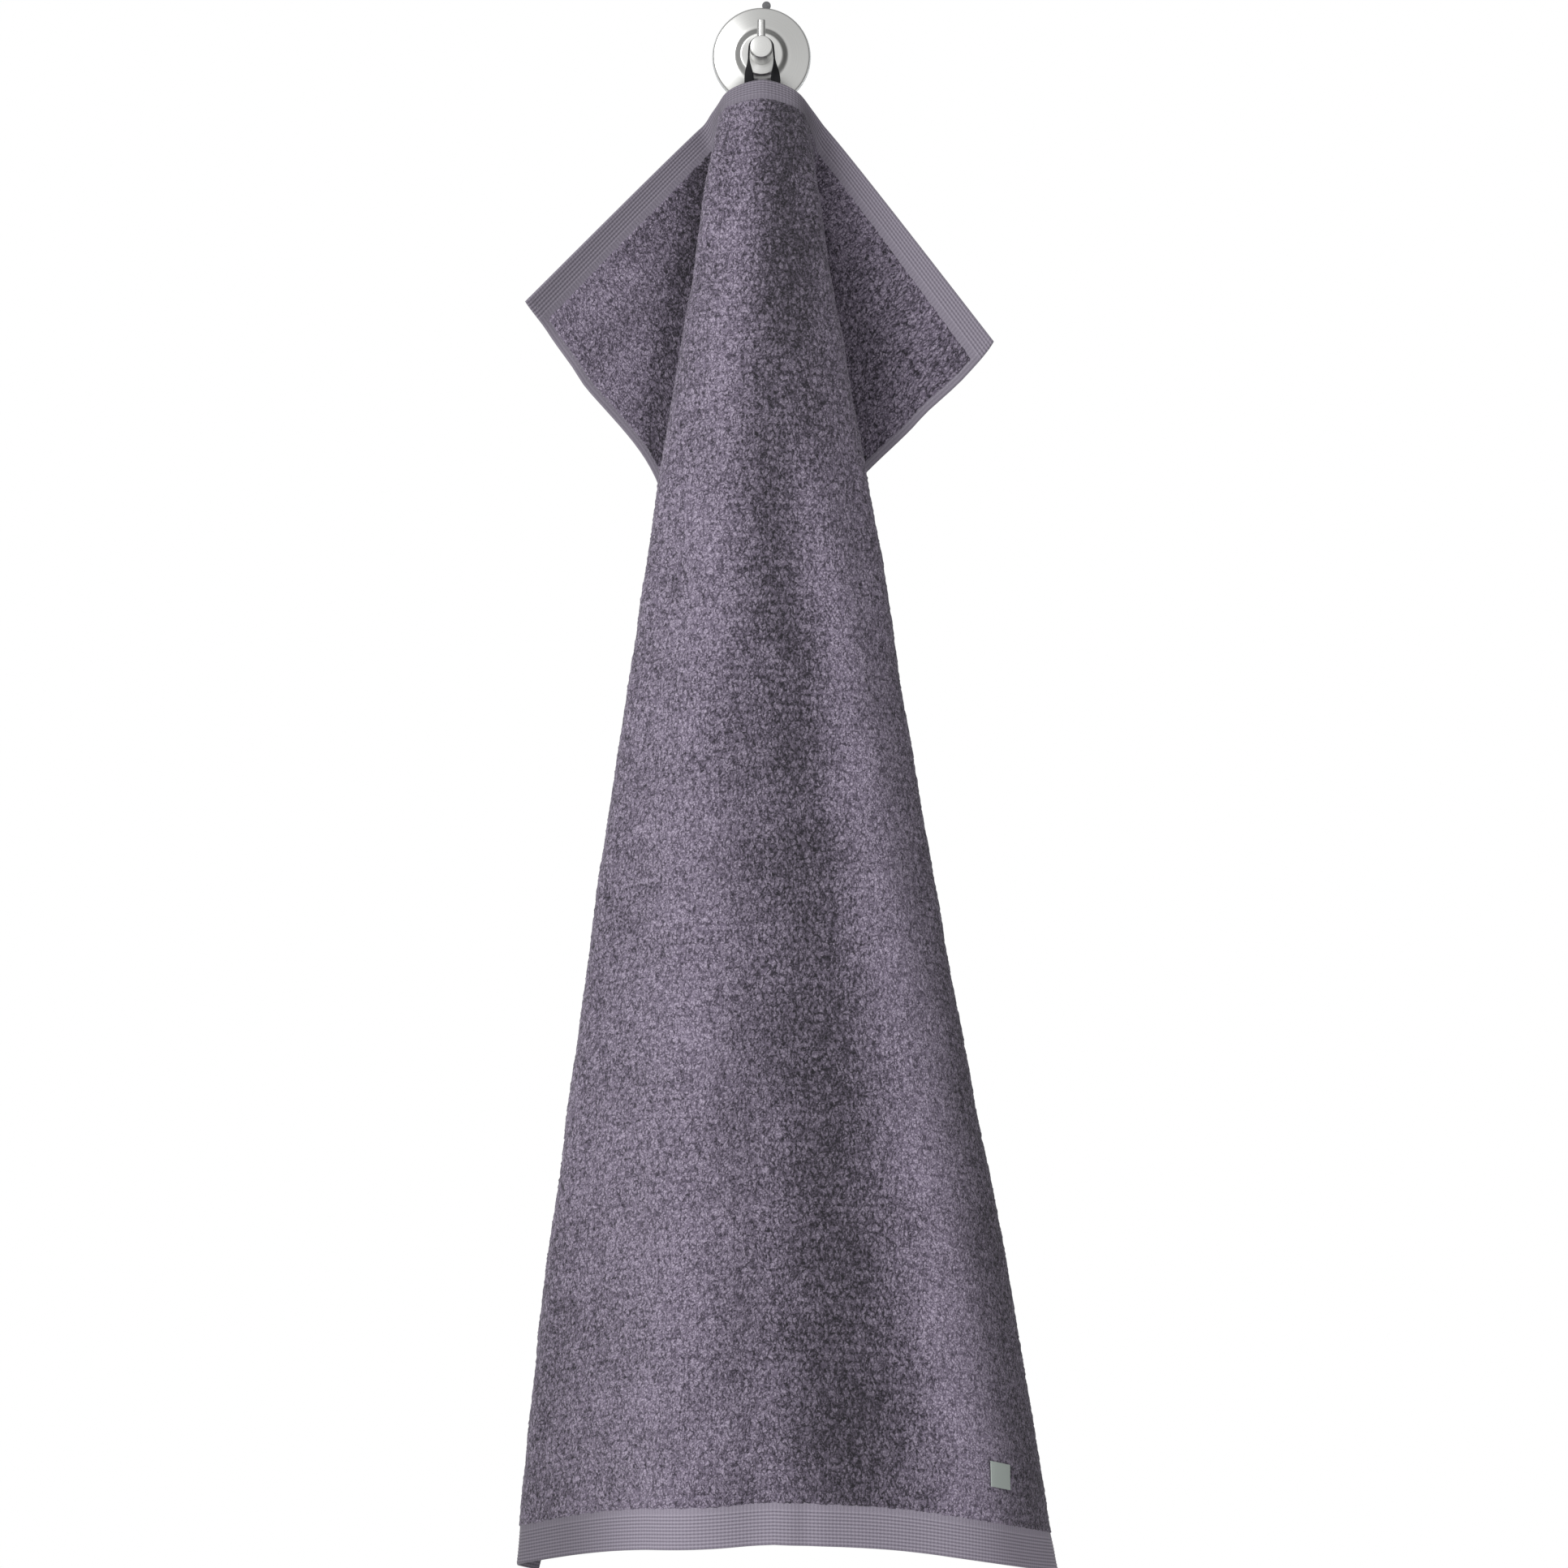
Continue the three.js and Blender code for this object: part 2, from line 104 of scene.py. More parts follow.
# Fold and valley are straight lines on the flat cloth. bend: the length of cloth that the
# fold's bend takes at the hem, the waist and the bottom. gathered: how much the top hem
# is drawn in.
FOLD_TOP = 27.0
SIDES = {
    "left": dict(table=LEFT, sign=-1, fold_slope=0.197, valley_top=60, valley_slope=0.44,
                 bend=(22, 32, 54), gathered=0.056),
    "right": dict(table=RIGHT, sign=1, fold_slope=0.205, valley_top=54, valley_slope=0.535,
                  bend=(26, 42, 54), gathered=0.016),
}
print("towel", WIDTH, "x", LENGTH, "mm, sections:", len(LEFT))

# %% [markdown]
# ## Walking a level line
#
# Three small curves do most of the shaping here. A soft step turns the cloth gently from
# one direction to the next, a bell lifts or shades one strip, and a smooth curve through
# a table's column fills in the levels between its rows. Sharp steps would be simpler, but
# a towel has no sharp corner.


# %% Curves
def soft_step(value, at, width):
    """From 0 to 1 round a place, over a width."""
    t = np.clip((value - at) / width + 0.5, 0, 1)
    return t * t * (3 - 2 * t)


def bell(value, at, width):
    """A soft bump: 1 at its place, almost 0 at twice the width from it."""
    return np.exp(-((value - at) / width) ** 2)


def along(table, column, down):
    """A smooth curve through one column of a table."""
    x, y = table[:, 0], table[:, column]
    last = len(x) - 1
    before = np.maximum(np.arange(last + 1) - 1, 0)
    after = np.minimum(np.arange(last + 1) + 1, last)
    slope = (y[after] - y[before]) / (x[after] - x[before])
    i = np.clip(np.searchsorted(x, down, side="right") - 1, 0, last - 1)
    h = x[i + 1] - x[i]
    s = (down - x[i]) / h
    return (
        (2 * s**3 - 3 * s**2 + 1) * y[i]
        + (s**3 - 2 * s**2 + s) * h * slope[i]
        + (3 * s**2 - 2 * s**3) * y[i + 1]
        + (s**3 - s**2) * h * slope[i + 1]
    )


print("middle at half length (mm):", [round(float(along(MIDDLE, k, 500.0)), 1) for k in (1, 2, 3)])


# %% The directions of one half
def plan_turns(side, form, down, mid):
    """The plan angle of every short step of the walk, in radians."""
    near = soft_step(down, 90, 180)      # 0 at the hem, 1 at the waist
    lower = soft_step(down, 450, 900)    # 0 at the hem, 1 at the bottom
    top, waist, bottom = side["bend"]
    crest_bend = 20 + 20 * near + 34 * lower
    fold_bend = top + (waist - top) * near + (bottom - waist) * lower
    valley_bend = 16 + 16 * near
    fold_at = FOLD_TOP + side["fold_slope"] * down
    valley_at = side["valley_top"] + side["valley_slope"] * down
    turn = -form["dip"] * soft_step(mid, 13, 26)
    turn = turn + (form["dip"] + form["lean"]) * soft_step(mid, form["crest_at"], crest_bend)
    turn = turn + (form["wall"] - form["lean"]) * soft_step(mid, fold_at, fold_bend)
    turn = turn + (form["flap"] - form["wall"]) * soft_step(mid, valley_at, valley_bend)
    # Small gathers that run down from the loop and die out
    gather_wave = 26 + 0.1 * down
    gather = 9 * np.exp(-down / 110) * np.sin(2 * np.pi * mid / gather_wave)
    return np.radians(turn + gather * (1 - soft_step(mid, 60, 60)))


def side_fall(form, down, s):
    """How far the line has fallen below its middle, s along the cloth."""
    soft = 18 + 0.074 * down

    def eased(q):
        past = q - form["drop_from"]
        return 0.5 * (past + np.hypot(past, soft))

    return form["drop"] * (eased(s) - eased(0.0)) / (eased(HALF) - eased(0.0))


def walk_half(side, down, steps=320):
    """One half of every level line: distance walked, and x, y, z from the middle."""
    down = np.asarray(down, float)[:, None]
    form = {name: along(side["table"], i, down) for i, name in enumerate(COLUMNS)}
    s = np.linspace(0, HALF, steps + 1)[None, :]
    turn = plan_turns(side, form, down, 0.5 * (s[:, 1:] + s[:, :-1]))
    fall = side_fall(form, down, s)
    drawn = 1 - side["gathered"] * (1 - soft_step(down, 40, 70))
    level = np.sqrt(np.maximum((drawn * np.diff(s)) ** 2 - np.diff(fall) ** 2, 1e-6))
    start = np.zeros((len(down), 1))
    x = side["sign"] * np.concatenate([start, np.cumsum(np.cos(turn) * level, axis=1)], axis=1)
    y = np.concatenate([start, np.cumsum(np.sin(turn) * level, axis=1)], axis=1)
    return s[0], x, y, -fall


for name, side in SIDES.items():
    reach = walk_half(side, [0.0])[1]
    print(name, "top corner is %.0f mm from the middle" % abs(reach[0, -1]))


# %% The whole cloth
def trough(u, down):
    """A soft trough down the front, between the left crest and a ridge on the right."""
    half_width = np.maximum(0.12 * down - 12, 20)
    centre = 0.125 * down - 20
    depth = 0.12 * half_width * soft_step(down, 260, 240)
    place = np.clip((u - centre) / half_width, -1, 1)
    return 0.5 * depth * (1 + np.cos(np.pi * place))


def cloth(us, downs):
    """Points of the towel's middle layer, rows down and columns across, in millimetres."""
    us, downs = np.asarray(us, float), np.asarray(downs, float)
    points = np.zeros((len(downs), len(us), 3))
    for side, chosen in (("left", us < 0), ("right", us >= 0)):
        s, x, y, z = walk_half(SIDES[side], downs)
        q = np.abs(us[chosen])
        for axis, values in enumerate((x, y, z)):
            points[:, chosen, axis] = [np.interp(q, s, row) for row in values]
    for axis in range(3):
        points[:, :, axis] += along(MIDDLE, axis + 1, downs)[:, None]
    points[:, :, 1] += trough(us[None, :], downs[:, None])
    return points


def cloth_and_normals(us, downs):
    """The cloth's points with the direction that faces out of its front."""
    points = cloth(us, downs)
    across = np.gradient(points, us, axis=1)
    downward = np.gradient(points, downs, axis=0)
    normals = np.cross(downward, across)
    return points, normals / np.linalg.norm(normals, axis=2, keepdims=True)


corners = cloth([-HALF, HALF], [0, LENGTH])
print("corners (mm):", np.round(corners.reshape(-1, 3)).tolist())

# %% [markdown]
# ## From arrays to meshes
#
# Cloth is easier to make as a grid of points than by hand in edit mode, because every
# point has a place on the flat towel. These helpers turn such grids into meshes, and
# keep that flat place with each point for the weave patterns to follow.

# %% Uneven patches
LATTICE = 64


def cloud(u, v, size, seed):
    """Smooth noise from 0 to 1 with patches of about the given size."""
    values = np.random.default_rng(seed).random((LATTICE, LATTICE))
    x, y = np.asarray(u) / size + 200, np.asarray(v) / size + 200
    i, j = np.floor(x).astype(int), np.floor(y).astype(int)
    fx, fy = x - i, y - j
    fx, fy = fx * fx * (3 - 2 * fx), fy * fy * (3 - 2 * fy)
    i0, i1, j0, j1 = i % LATTICE, (i + 1) % LATTICE, j % LATTICE, (j + 1) % LATTICE
    near = values[i0, j0] * (1 - fx) + values[i1, j0] * fx
    far = values[i0, j1] * (1 - fx) + values[i1, j1] * fx
    return near * (1 - fy) + far * fy


print("cloud at one place:", round(float(cloud(10, 10, 30, 1)), 3))


# %% Meshes from grids
def grid_faces(rows, columns, start=0, flip=False):
    """Four-sided faces over a grid of points."""
    index = np.arange(rows * columns).reshape(rows, columns) + start
    a, b = index[:-1, :-1].ravel(), index[:-1, 1:].ravel()
    c, d = index[1:, 1:].ravel(), index[1:, :-1].ravel()
    return np.stack([a, b, c, d] if flip else [a, d, c, b], axis=1)


def make_mesh(name, points, faces, uv=None, floats=None, vectors=None):
    """A mesh object from arrays of points (mm) and faces, with its own maps."""
    mesh = bpy.data.meshes.new(name)
    corners_each = faces.shape[1]
    mesh.vertices.add(len(points))
    mesh.vertices.foreach_set("co", (points * MM).astype(np.float32).ravel())
    mesh.loops.add(faces.size)
    mesh.loops.foreach_set("vertex_index", faces.ravel().astype(np.int32))
    mesh.polygons.add(len(faces))
    starts = np.arange(len(faces)) * corners_each
    mesh.polygons.foreach_set("loop_start", starts.astype(np.int32))
    mesh.polygons.foreach_set("use_smooth", np.ones(len(faces), bool))
    if uv is not None:
        layer = mesh.uv_layers.new(name="UVMap")
        layer.data.foreach_set("uv", uv[faces.ravel()].astype(np.float32).ravel())
    for label, values in (floats or {}).items():
        layer = mesh.attributes.new(label, "FLOAT", "POINT")
        layer.data.foreach_set("value", values.astype(np.float32).ravel())
    for label, values in (vectors or {}).items():
        layer = mesh.attributes.new(label, "FLOAT_VECTOR", "POINT")
        layer.data.foreach_set("vector", values.astype(np.float32).ravel())
    mesh.update(calc_edges=True)
    mesh.validate()
    piece = bpy.data.objects.new(name, mesh)
    bpy.context.scene.collection.objects.link(piece)
    return piece


def both(values):
    """The same values for the front and the back layer of a sheet."""
    return np.tile(values.ravel(), 2)


def both_places(x, y):
    """Flat places of the front and the back layer, in metres, for the weave to follow."""
    flat = np.stack([x, y, 0 * x], axis=2) * MM
    return np.tile(flat.reshape(-1, 3), (2, 1))


def closed_sheet(name, front, back, uv_front, uv_back, floats=None, vectors=None):
    """Two grids of points joined round their edge into one closed sheet."""
    rows, columns = front.shape[:2]
    count = rows * columns
    index = np.arange(count).reshape(rows, columns)
    rim = np.concatenate([index[0, :-1], index[:-1, -1], index[-1, :0:-1], index[:0:-1, 0]])
    after = np.roll(rim, -1)
    faces = np.concatenate([
        grid_faces(rows, columns),
        grid_faces(rows, columns, count, flip=True),
        np.stack([rim, after, after + count, rim + count], axis=1),
    ])
    points = np.concatenate([front.reshape(-1, 3), back.reshape(-1, 3)])
    uv = np.concatenate([uv_front.reshape(-1, 2), uv_back.reshape(-1, 2)])
    return make_mesh(name, points, faces, uv, floats, vectors)


print("faces over 3 x 3 points:", len(grid_faces(3, 3)))

# %% [markdown]
# ## The woven ground and its hems
#
# The towel is one piece of weaving. At both ends the pile stops and a flat band is
# woven in small ribs, and both long sides are turned and sewn down in a narrow hem. All
# of that is in the base sheet, closed and about 2.4 mm thick. The ribs could be bump in
# the material, but they catch the light along the whole lower edge, so they are relief.

# %% Thickness, ribs and creases
RIB = 2.3
PLAIN_STRIP = 4.6


def band_place(down):
    """Distance into either end band from the pile's edge, negative inside the pile."""
    return np.where(down < LENGTH / 2, TOP_HEM - down, down - (LENGTH - BOTTOM_HEM))


def rib_rows(down):
    """1 on the woven rib rows of the bands, 0 between them and 0.5 on the plain strip."""
    to_end = np.minimum(down, LENGTH - down)
    wave = 0.5 * np.cos(2 * np.pi * to_end / RIB)
    return 0.5 + wave * soft_step(band_place(down), PLAIN_STRIP, 1.2) * soft_step(to_end, 0.9, 0.8)


def ground_half(u, down):
    """Half of the base sheet's thickness."""
    to_end = np.minimum(down, LENGTH - down)
    to_side = HALF - np.abs(u)
    turned_hem = soft_step(to_side, 3.0, 3.0) * (1 - soft_step(to_side, 5.2, 1.2))
    half = 1.05 + 0.32 * rib_rows(down) + 0.25 * turned_hem
    round_edge = np.sqrt(np.clip(0.25 + np.minimum(to_end, to_side) / 1.4, 0, 1))
    return half * round_edge


def crease(u, down):
    """Soft creases that the eye picks out: two through the lower band, and small dents."""
    fold = -1.6 * bell(u, 21, 7) * soft_step(down, 955, 70)
    fold = fold - 0.8 * bell(u, -92, 9) * soft_step(down, 960, 50)
    dents = 1.6 * (cloud(u, down, 46, 3) - 0.5) + 1.0 * (cloud(u, down, 21, 4) - 0.5)
    return fold + dents * soft_step(down, 60, 80)


def band_tone_and_painted_shade(u, down):
    """Tone of the bands, with painted shade where they turn away from the light."""
    turn = bell(np.abs(u), 40, 13) * soft_step(down, 6, 12)
    top = 0.70 + 0.08 * soft_step(np.abs(u), 70, 60) + 0.06 * soft_step(u, 90, 60) - 0.16 * turn
    end = 1.04 - 0.5 * soft_step(-u, 125, 90) - 0.06 * soft_step(u, 110, 60)
    return np.where(down < LENGTH / 2, top, end)


print("thickness on a rib: %.1f mm" % (2 * ground_half(0.0, np.array(3 * RIB))))

# %% The base sheet
RIB_STEP, GROUND_STEP_U, GROUND_STEP_DOWN = 0.51, 3.2, 7.5
EDGE_STEPS = (0.25, 0.55)
FRONT_MAP, BACK_MAP = 0.499, 0.501
side_lines = np.array([0, 0.35, 0.9, 1.6, 2.6, 3.8, 5.0, 5.7])


def spaced(start, end, pitch):
    """Even places from start to end, about a pitch apart."""
    return np.linspace(start, end, int(round(abs(end - start) / pitch)) + 1)


us = np.concatenate([
    -HALF + side_lines,
    spaced(-HALF + SIDE_HEM, HALF - SIDE_HEM, GROUND_STEP_U),
    HALF - side_lines[::-1],
])
downs = np.concatenate([
    [0, EDGE_STEPS[0]],
    spaced(EDGE_STEPS[1], TOP_HEM, RIB_STEP),
    spaced(TOP_HEM + 4, LENGTH - BOTTOM_HEM - 4, GROUND_STEP_DOWN),
    spaced(LENGTH - BOTTOM_HEM, LENGTH - EDGE_STEPS[1], RIB_STEP),
    [LENGTH - EDGE_STEPS[0], LENGTH],
])
points, normals = cloth_and_normals(us, downs)
U, D = np.meshgrid(us, downs)
half = ground_half(U, D)[..., None]
lift = crease(U, D)[..., None]
towel_uv = np.stack([(U + HALF) / WIDTH * FRONT_MAP, 1 - D / LENGTH], axis=2)
towel = closed_sheet(
    "terry_towel",
    points + normals * (lift + half),
    points + normals * (lift - half),
    towel_uv,
    towel_uv + np.array([BACK_MAP, 0]),
    # The bands' tone holds painted shade where they turn away.
    floats={"rib": both(rib_rows(D)), "tone_and_painted_shading": both(band_tone_and_painted_shade(U, D))},
    vectors={"cloth": both_places(U + HALF, D)},
)
print("base sheet:", len(towel.data.polygons), "faces")

# %% [markdown]
# ## The pile
#
# Terry pile is many thousands of short loops that stand about 2 mm above the ground.
# Single loops would be far too many faces, so the pile is one raised surface with a point
# about every 1.5 mm. Each point is lifted to its own uneven height and slid a little, in
# patches, as where a hand has brushed the cloth. The single loops and the dark partings
# between them are left to the material. Each point also carries a tone: random paler and
# darker patches and, on the front, painted light and shade, pale on the crests and a dark
# strip by the trough, with painted shade in the flap's valley and at the turned edges,
# which soft light all round leaves too pale.


# %% How the pile stands and shades
def loop_heights(rows, columns, rng):
    """Uneven loop tops, 0 to 1, with a few loops that stand out."""
    height = rng.random((rows, columns))
    moves = ((1, 0), (1, 1), (-1, 0), (-1, 1))
    near = 0.25 * sum(np.roll(height, step, axis) for step, axis in moves)
    height = 0.6 * height + 0.4 * near
    tall = rng.random((rows, columns)) < 0.05
    return np.clip(height + 0.45 * tall, 0, 1)


def painted_pile_light_and_shade(u, down):
    """Painted light and shade on the front pile: pale crests, a dark strip by the trough, shade at the
    turns.
    """
    upper = 1 - soft_step(down, 280, 120)
    low = soft_step(down, 330, 500)
    dark_strip = 8 + 8 * upper + 0.07 * np.maximum(down - 330, 0)
    right_ridge = 0.166 * down - 22
    left_crest = -8 - 0.06 * down
    right_turn = 40 + 0.145 * down
    flap_valley = -43 - 1.45 * down
    flap_face = 130 + 0.3 * down
    return sum((
        (0.25 * low - 1) * bell(u, dark_strip, 13 + 11 * upper + 30 * low),
        0.65 * bell(u, right_ridge, 10 + 20 * low) * soft_step(down, 240, 200),
        0.4 * bell(u, left_crest, 12 + 44 * low),
        -0.85 * soft_step(u, right_turn, 20 + 30 * low) * soft_step(down, 330, 240),
        -0.4 * soft_step(-u, 165, 60) * soft_step(down, 760, 300),
        -0.9 * bell(u, flap_valley, 27) * soft_step(-u, 60, 60),
        0.4 * soft_step(-u, flap_face, 60) * (1 - soft_step(down, 260, 160)),
        -0.2 * (1 - soft_step(down, 60, 120)),
    ))


print("nap on the crest and in the strip:", np.round(painted_pile_light_and_shade(np.array([-32, 13]), 400.0), 2))

# %% The points of one face's pile
LABEL_U, LABEL_DOWN, LABEL_W, LABEL_H = 162.0, 940.0, 21.0, 17.0
LAP_SIDE, LAP_END = 0.9, 1.2
LOW_EDGE, LOW_LOOP, LOOP_RANGE = 0.45, 1.3, 1.2
SCATTER, LEAN = 0.85, 0.75


def pile_points(side, pitch, seed):
    """Points of the pile on one face, with their heights, tones and flat places."""
    rng = np.random.default_rng(seed)
    us = spaced(-HALF + SIDE_HEM - LAP_SIDE, HALF - SIDE_HEM + LAP_SIDE, pitch)
    downs = spaced(TOP_HEM - LAP_END, LENGTH - BOTTOM_HEM + LAP_END, pitch)
    points, normals = cloth_and_normals(us, downs)
    across = np.gradient(points, us, axis=1)
    downward = np.gradient(points, downs, axis=0)
    U, D = np.meshgrid(us, downs)
    height = loop_heights(*U.shape, rng)
    patch = cloud(U, D, 30, seed + 1) + 0.6 * cloud(U, D, 13, seed + 2) - 0.8
    # The tone holds random patches and, on the front, painted light and shade.
    tone_and_painted_shading = 1 + 0.16 * patch + (0.45 * painted_pile_light_and_shade(U, D) if side > 0 else 0)
    swirl = 2 * np.pi * cloud(U, D, 60, seed + 3)
    to_rim = np.minimum(np.minimum(U - us[0], us[-1] - U), np.minimum(D - downs[0], downs[-1] - D))
    inside = soft_step(to_rim, 0.7, 1.2)
    beside_label, below_label = np.abs(U - LABEL_U), np.abs(D - LABEL_DOWN)
    pressed = (beside_label < LABEL_W / 2 + 0.5) & (below_label < LABEL_H / 2 + 0.5) & (side > 0)
    rise = LOW_LOOP + LOOP_RANGE * height * (0.9 + 0.25 * patch)
    rise = np.where(pressed, 1.0 + 0.6 * height, rise)
    rise = LOW_EDGE * (1 - inside) + rise * inside
    lean = LEAN * height * inside
    slide_u = (rng.random(U.shape) - 0.5) * SCATTER * pitch * inside + lean * np.cos(swirl)
    slide_d = (rng.random(U.shape) - 0.5) * SCATTER * pitch * inside + lean * (0.5 + np.sin(swirl))
    placed = points + across * slide_u[..., None] + downward * slide_d[..., None]
    placed = placed + normals * (crease(U, D) + side * rise)[..., None]
    return placed, height, tone_and_painted_shading, np.stack([U + HALF, D, 0 * U], axis=2) * MM


print("loops stand %.1f to %.1f mm above the cloth's middle" % (LOW_LOOP, LOW_LOOP + LOOP_RANGE))


# %% Pile pieces on the front and the back
def pile_side(side, pitch, parts, seed):
    """The pile of one face, cut into a few pieces from top to bottom."""
    placed, height, tone_and_painted_shading, flat_place = pile_points(side, pitch, seed)
    face = "front" if side > 0 else "back"
    cuts = np.linspace(0, len(placed) - 1, parts + 1).astype(int)
    made = []
    for k in range(parts):
        part = slice(cuts[k], cuts[k + 1] + 1)
        rows, columns = placed[part].shape[:2]
        uv = np.stack(np.meshgrid(np.linspace(0, 1, columns), np.linspace(1, 0, rows)), axis=2)
        made.append(make_mesh(
            f"pile_{face}_{k + 1}",
            placed[part].reshape(-1, 3),
            grid_faces(rows, columns, flip=side < 0),
            uv.reshape(-1, 2),
            {"pile": height[part], "tone_and_painted_shading": tone_and_painted_shading[part]},
            {"cloth": flat_place[part].reshape(-1, 3)},
        ))
    return made


pile = pile_side(1, 1.45, 3, 11) + pile_side(-1, 2.2, 2, 23)
for piece in pile:
    print(piece.name, 2 * len(piece.data.polygons), "triangles")

# %% [markdown]
# ## Sewing
#
# The side hems are held by a line of straight stitches in a thread a little paler than
# the cloth. A line of bump would vanish in a close view, so each stitch is a small
# spindle of eight faces that lies on the hem, on both faces of the cloth.

# %% Stitches along both side hems
STITCH_PITCH, STITCH_LENGTH = 3.3, 2.3
STITCH_WIDE, STITCH_HIGH = 0.42, 0.3
STITCH_FROM_EDGE, STITCH_LIFT = 4.6, 1.25


def spindles(name, start, end, normal, width, height):
    """Eight-faced stitches from start to end points, lying on the given normals."""
    way = end - start
    length = np.linalg.norm(way, axis=1, keepdims=True)
    beside = np.cross(way / length, normal)
    middle = 0.5 * (start + end)
    ring = [middle + beside * width, middle + normal * height,
            middle - beside * width, middle - normal * height]
    points = np.stack([start, end, *ring], axis=1)
    faces = []
    for k in range(4):
        faces.append((0, 2 + k, 2 + (k + 1) % 4))
        faces.append((1, 2 + (k + 1) % 4, 2 + k))
    count = len(points)
    faces = (np.array(faces)[None] + 6 * np.arange(count)[:, None, None]).reshape(-1, 3)
    return make_mesh(name, points.reshape(-1, 3), faces)


stitch_downs = np.arange(4, LENGTH - 3, STITCH_PITCH)
starts, ends, outs = [], [], []
for edge in (-HALF + STITCH_FROM_EDGE, HALF - STITCH_FROM_EDGE):
    line_us = np.array([edge - 1, edge, edge + 1])
    for offset, keep in ((0.0, starts), (STITCH_LENGTH, ends)):
        p, n = cloth_and_normals(line_us, stitch_downs + offset)
        lift = crease(line_us[None], (stitch_downs + offset)[:, None])[..., None] * n
        for face in (1, -1):
            keep.append((p + lift + face * n * STITCH_LIFT)[:, 1])
            if keep is starts:
                outs.append(n[:, 1] * face)
stitching = spindles("side_stitching", np.concatenate(starts), np.concatenate(ends),
                     np.concatenate(outs), STITCH_WIDE, STITCH_HIGH)
print("stitches:", len(stitching.data.polygons) // 8)

# %% [markdown]
# ## The tape loop
#
# A flat black tape is sewn behind the top hem and goes over the peg. It lies flat on the
# peg and turns a quarter on the way down, so its legs show narrow above and wide below.
# A curve with a bevel would give a round cord, so the tape is a thin closed sheet that is
# carried along a path and twisted as it goes.

# %% The tape's path
PEG_RADIUS, CLEARANCE = 7.6, 0.3
TAPE_WIDTH, TAPE_HALF, TAPE_GAP, HEM_HALF = 6.6, 0.6, 1.4, 1.1
TAPE_Y, TAPE_FOOT_U, TAPE_SEWN = -32.5, 10.8, 12
PATH_POINTS = 150


def tape_foot(u, down):
    """A place behind the top hem, where the tape is sewn."""
    p, n = cloth_and_normals([u - 1, u, u + 1], [down, down + 1])
    return p[0, 1] - n[0, 1] * (HEM_HALF + TAPE_GAP + TAPE_HALF)


def smooth_path(knots, count):
    """A centripetal curve through the knots, at even steps of its length."""
    knots = np.asarray(knots, float)
    k = np.concatenate([[2 * knots[0] - knots[1]], knots, [2 * knots[-1] - knots[-2]]])
    fine = []
    for i in range(1, len(k) - 2):
        p0, p1, p2, p3 = k[i - 1:i + 3]
        t1 = np.linalg.norm(p1 - p0) ** 0.5
        t2 = t1 + np.linalg.norm(p2 - p1) ** 0.5
        t3 = t2 + np.linalg.norm(p3 - p2) ** 0.5
        t = np.linspace(t1, t2, 30, endpoint=False)[:, None]
        a1 = (t1 - t) / t1 * p0 + t / t1 * p1
        a2 = (t2 - t) / (t2 - t1) * p1 + (t - t1) / (t2 - t1) * p2
        a3 = (t3 - t) / (t3 - t2) * p2 + (t - t2) / (t3 - t2) * p3
        b1 = (t2 - t) / t2 * a1 + t / t2 * a2
        b2 = (t3 - t) / (t3 - t1) * a2 + (t - t1) / (t3 - t1) * a3
        fine.append((t2 - t) / (t2 - t1) * b1 + (t - t1) / (t2 - t1) * b2)
    fine = np.concatenate([*fine, knots[-1:]])
    run = np.concatenate([[0], np.cumsum(np.linalg.norm(np.diff(fine, axis=0), axis=1))])
    even = np.linspace(0, run[-1], count)
    return np.stack([np.interp(even, run, fine[:, a]) for a in range(3)], axis=1), run[-1]


radius = PEG_RADIUS + CLEARANCE + TAPE_HALF
turns = np.radians([-96, -64, -32, 0, 32, 64, 96])
over_peg = np.stack([np.sin(turns) * radius, np.full(7, TAPE_Y), np.cos(turns) * radius], axis=1)
raise_foot = np.array([0, 1, 2])
left_leg, right_leg = [
    [tape_foot(u, TAPE_SEWN), tape_foot(u, TAPE_SEWN / 2), tape_foot(u, 0) + raise_foot]
    for u in (-TAPE_FOOT_U, TAPE_FOOT_U)
]
path, tape_length = smooth_path([*left_leg, *over_peg, *right_leg[::-1]], PATH_POINTS)
print("tape length %.0f mm" % tape_length)

# %% The tape
tangent = np.gradient(path, axis=0)
tangent /= np.linalg.norm(tangent, axis=1, keepdims=True)
t = np.linspace(0, 1, len(path))
twist = np.pi / 2 * soft_step(np.abs(t - 0.5) * 2, 0.55, 0.4) * np.sign(t - 0.5)
aim = np.stack([np.sin(twist), np.cos(twist), 0 * twist], axis=1)
wide = aim - tangent * np.sum(aim * tangent, axis=1, keepdims=True)
wide /= np.linalg.norm(wide, axis=1, keepdims=True)
thick = np.cross(tangent, wide)
w = np.linspace(-1, 1, 15)
bulge = TAPE_HALF * np.sqrt(np.clip(1 - np.abs(w) ** 6, 0.12, 1))
lines = path[:, None] + wide[:, None] * (w * TAPE_WIDTH / 2)[None, :, None]
W, T = np.meshgrid(w, t)
tape_uv = np.stack([0.02 + 0.2 * (W + 1), T], axis=2)
tape = closed_sheet(
    "tape_loop",
    lines + thick[:, None] * bulge[None, :, None],
    lines - thick[:, None] * bulge[None, :, None],
    tape_uv,
    tape_uv + np.array([0.5, 0]),
    vectors={"cloth": both_places(W * TAPE_WIDTH / 2, T * tape_length)},
)
print("tape:", len(tape.data.polygons), "faces")

# %% [markdown]
# ## The label
#
# A plain woven rectangle is sewn flat on the pile near the lower right corner. It follows
# the same cloth as the towel, a little higher, so it is a third closed sheet. A shallow
# groove just inside its edge is where the sewing pulls it down.

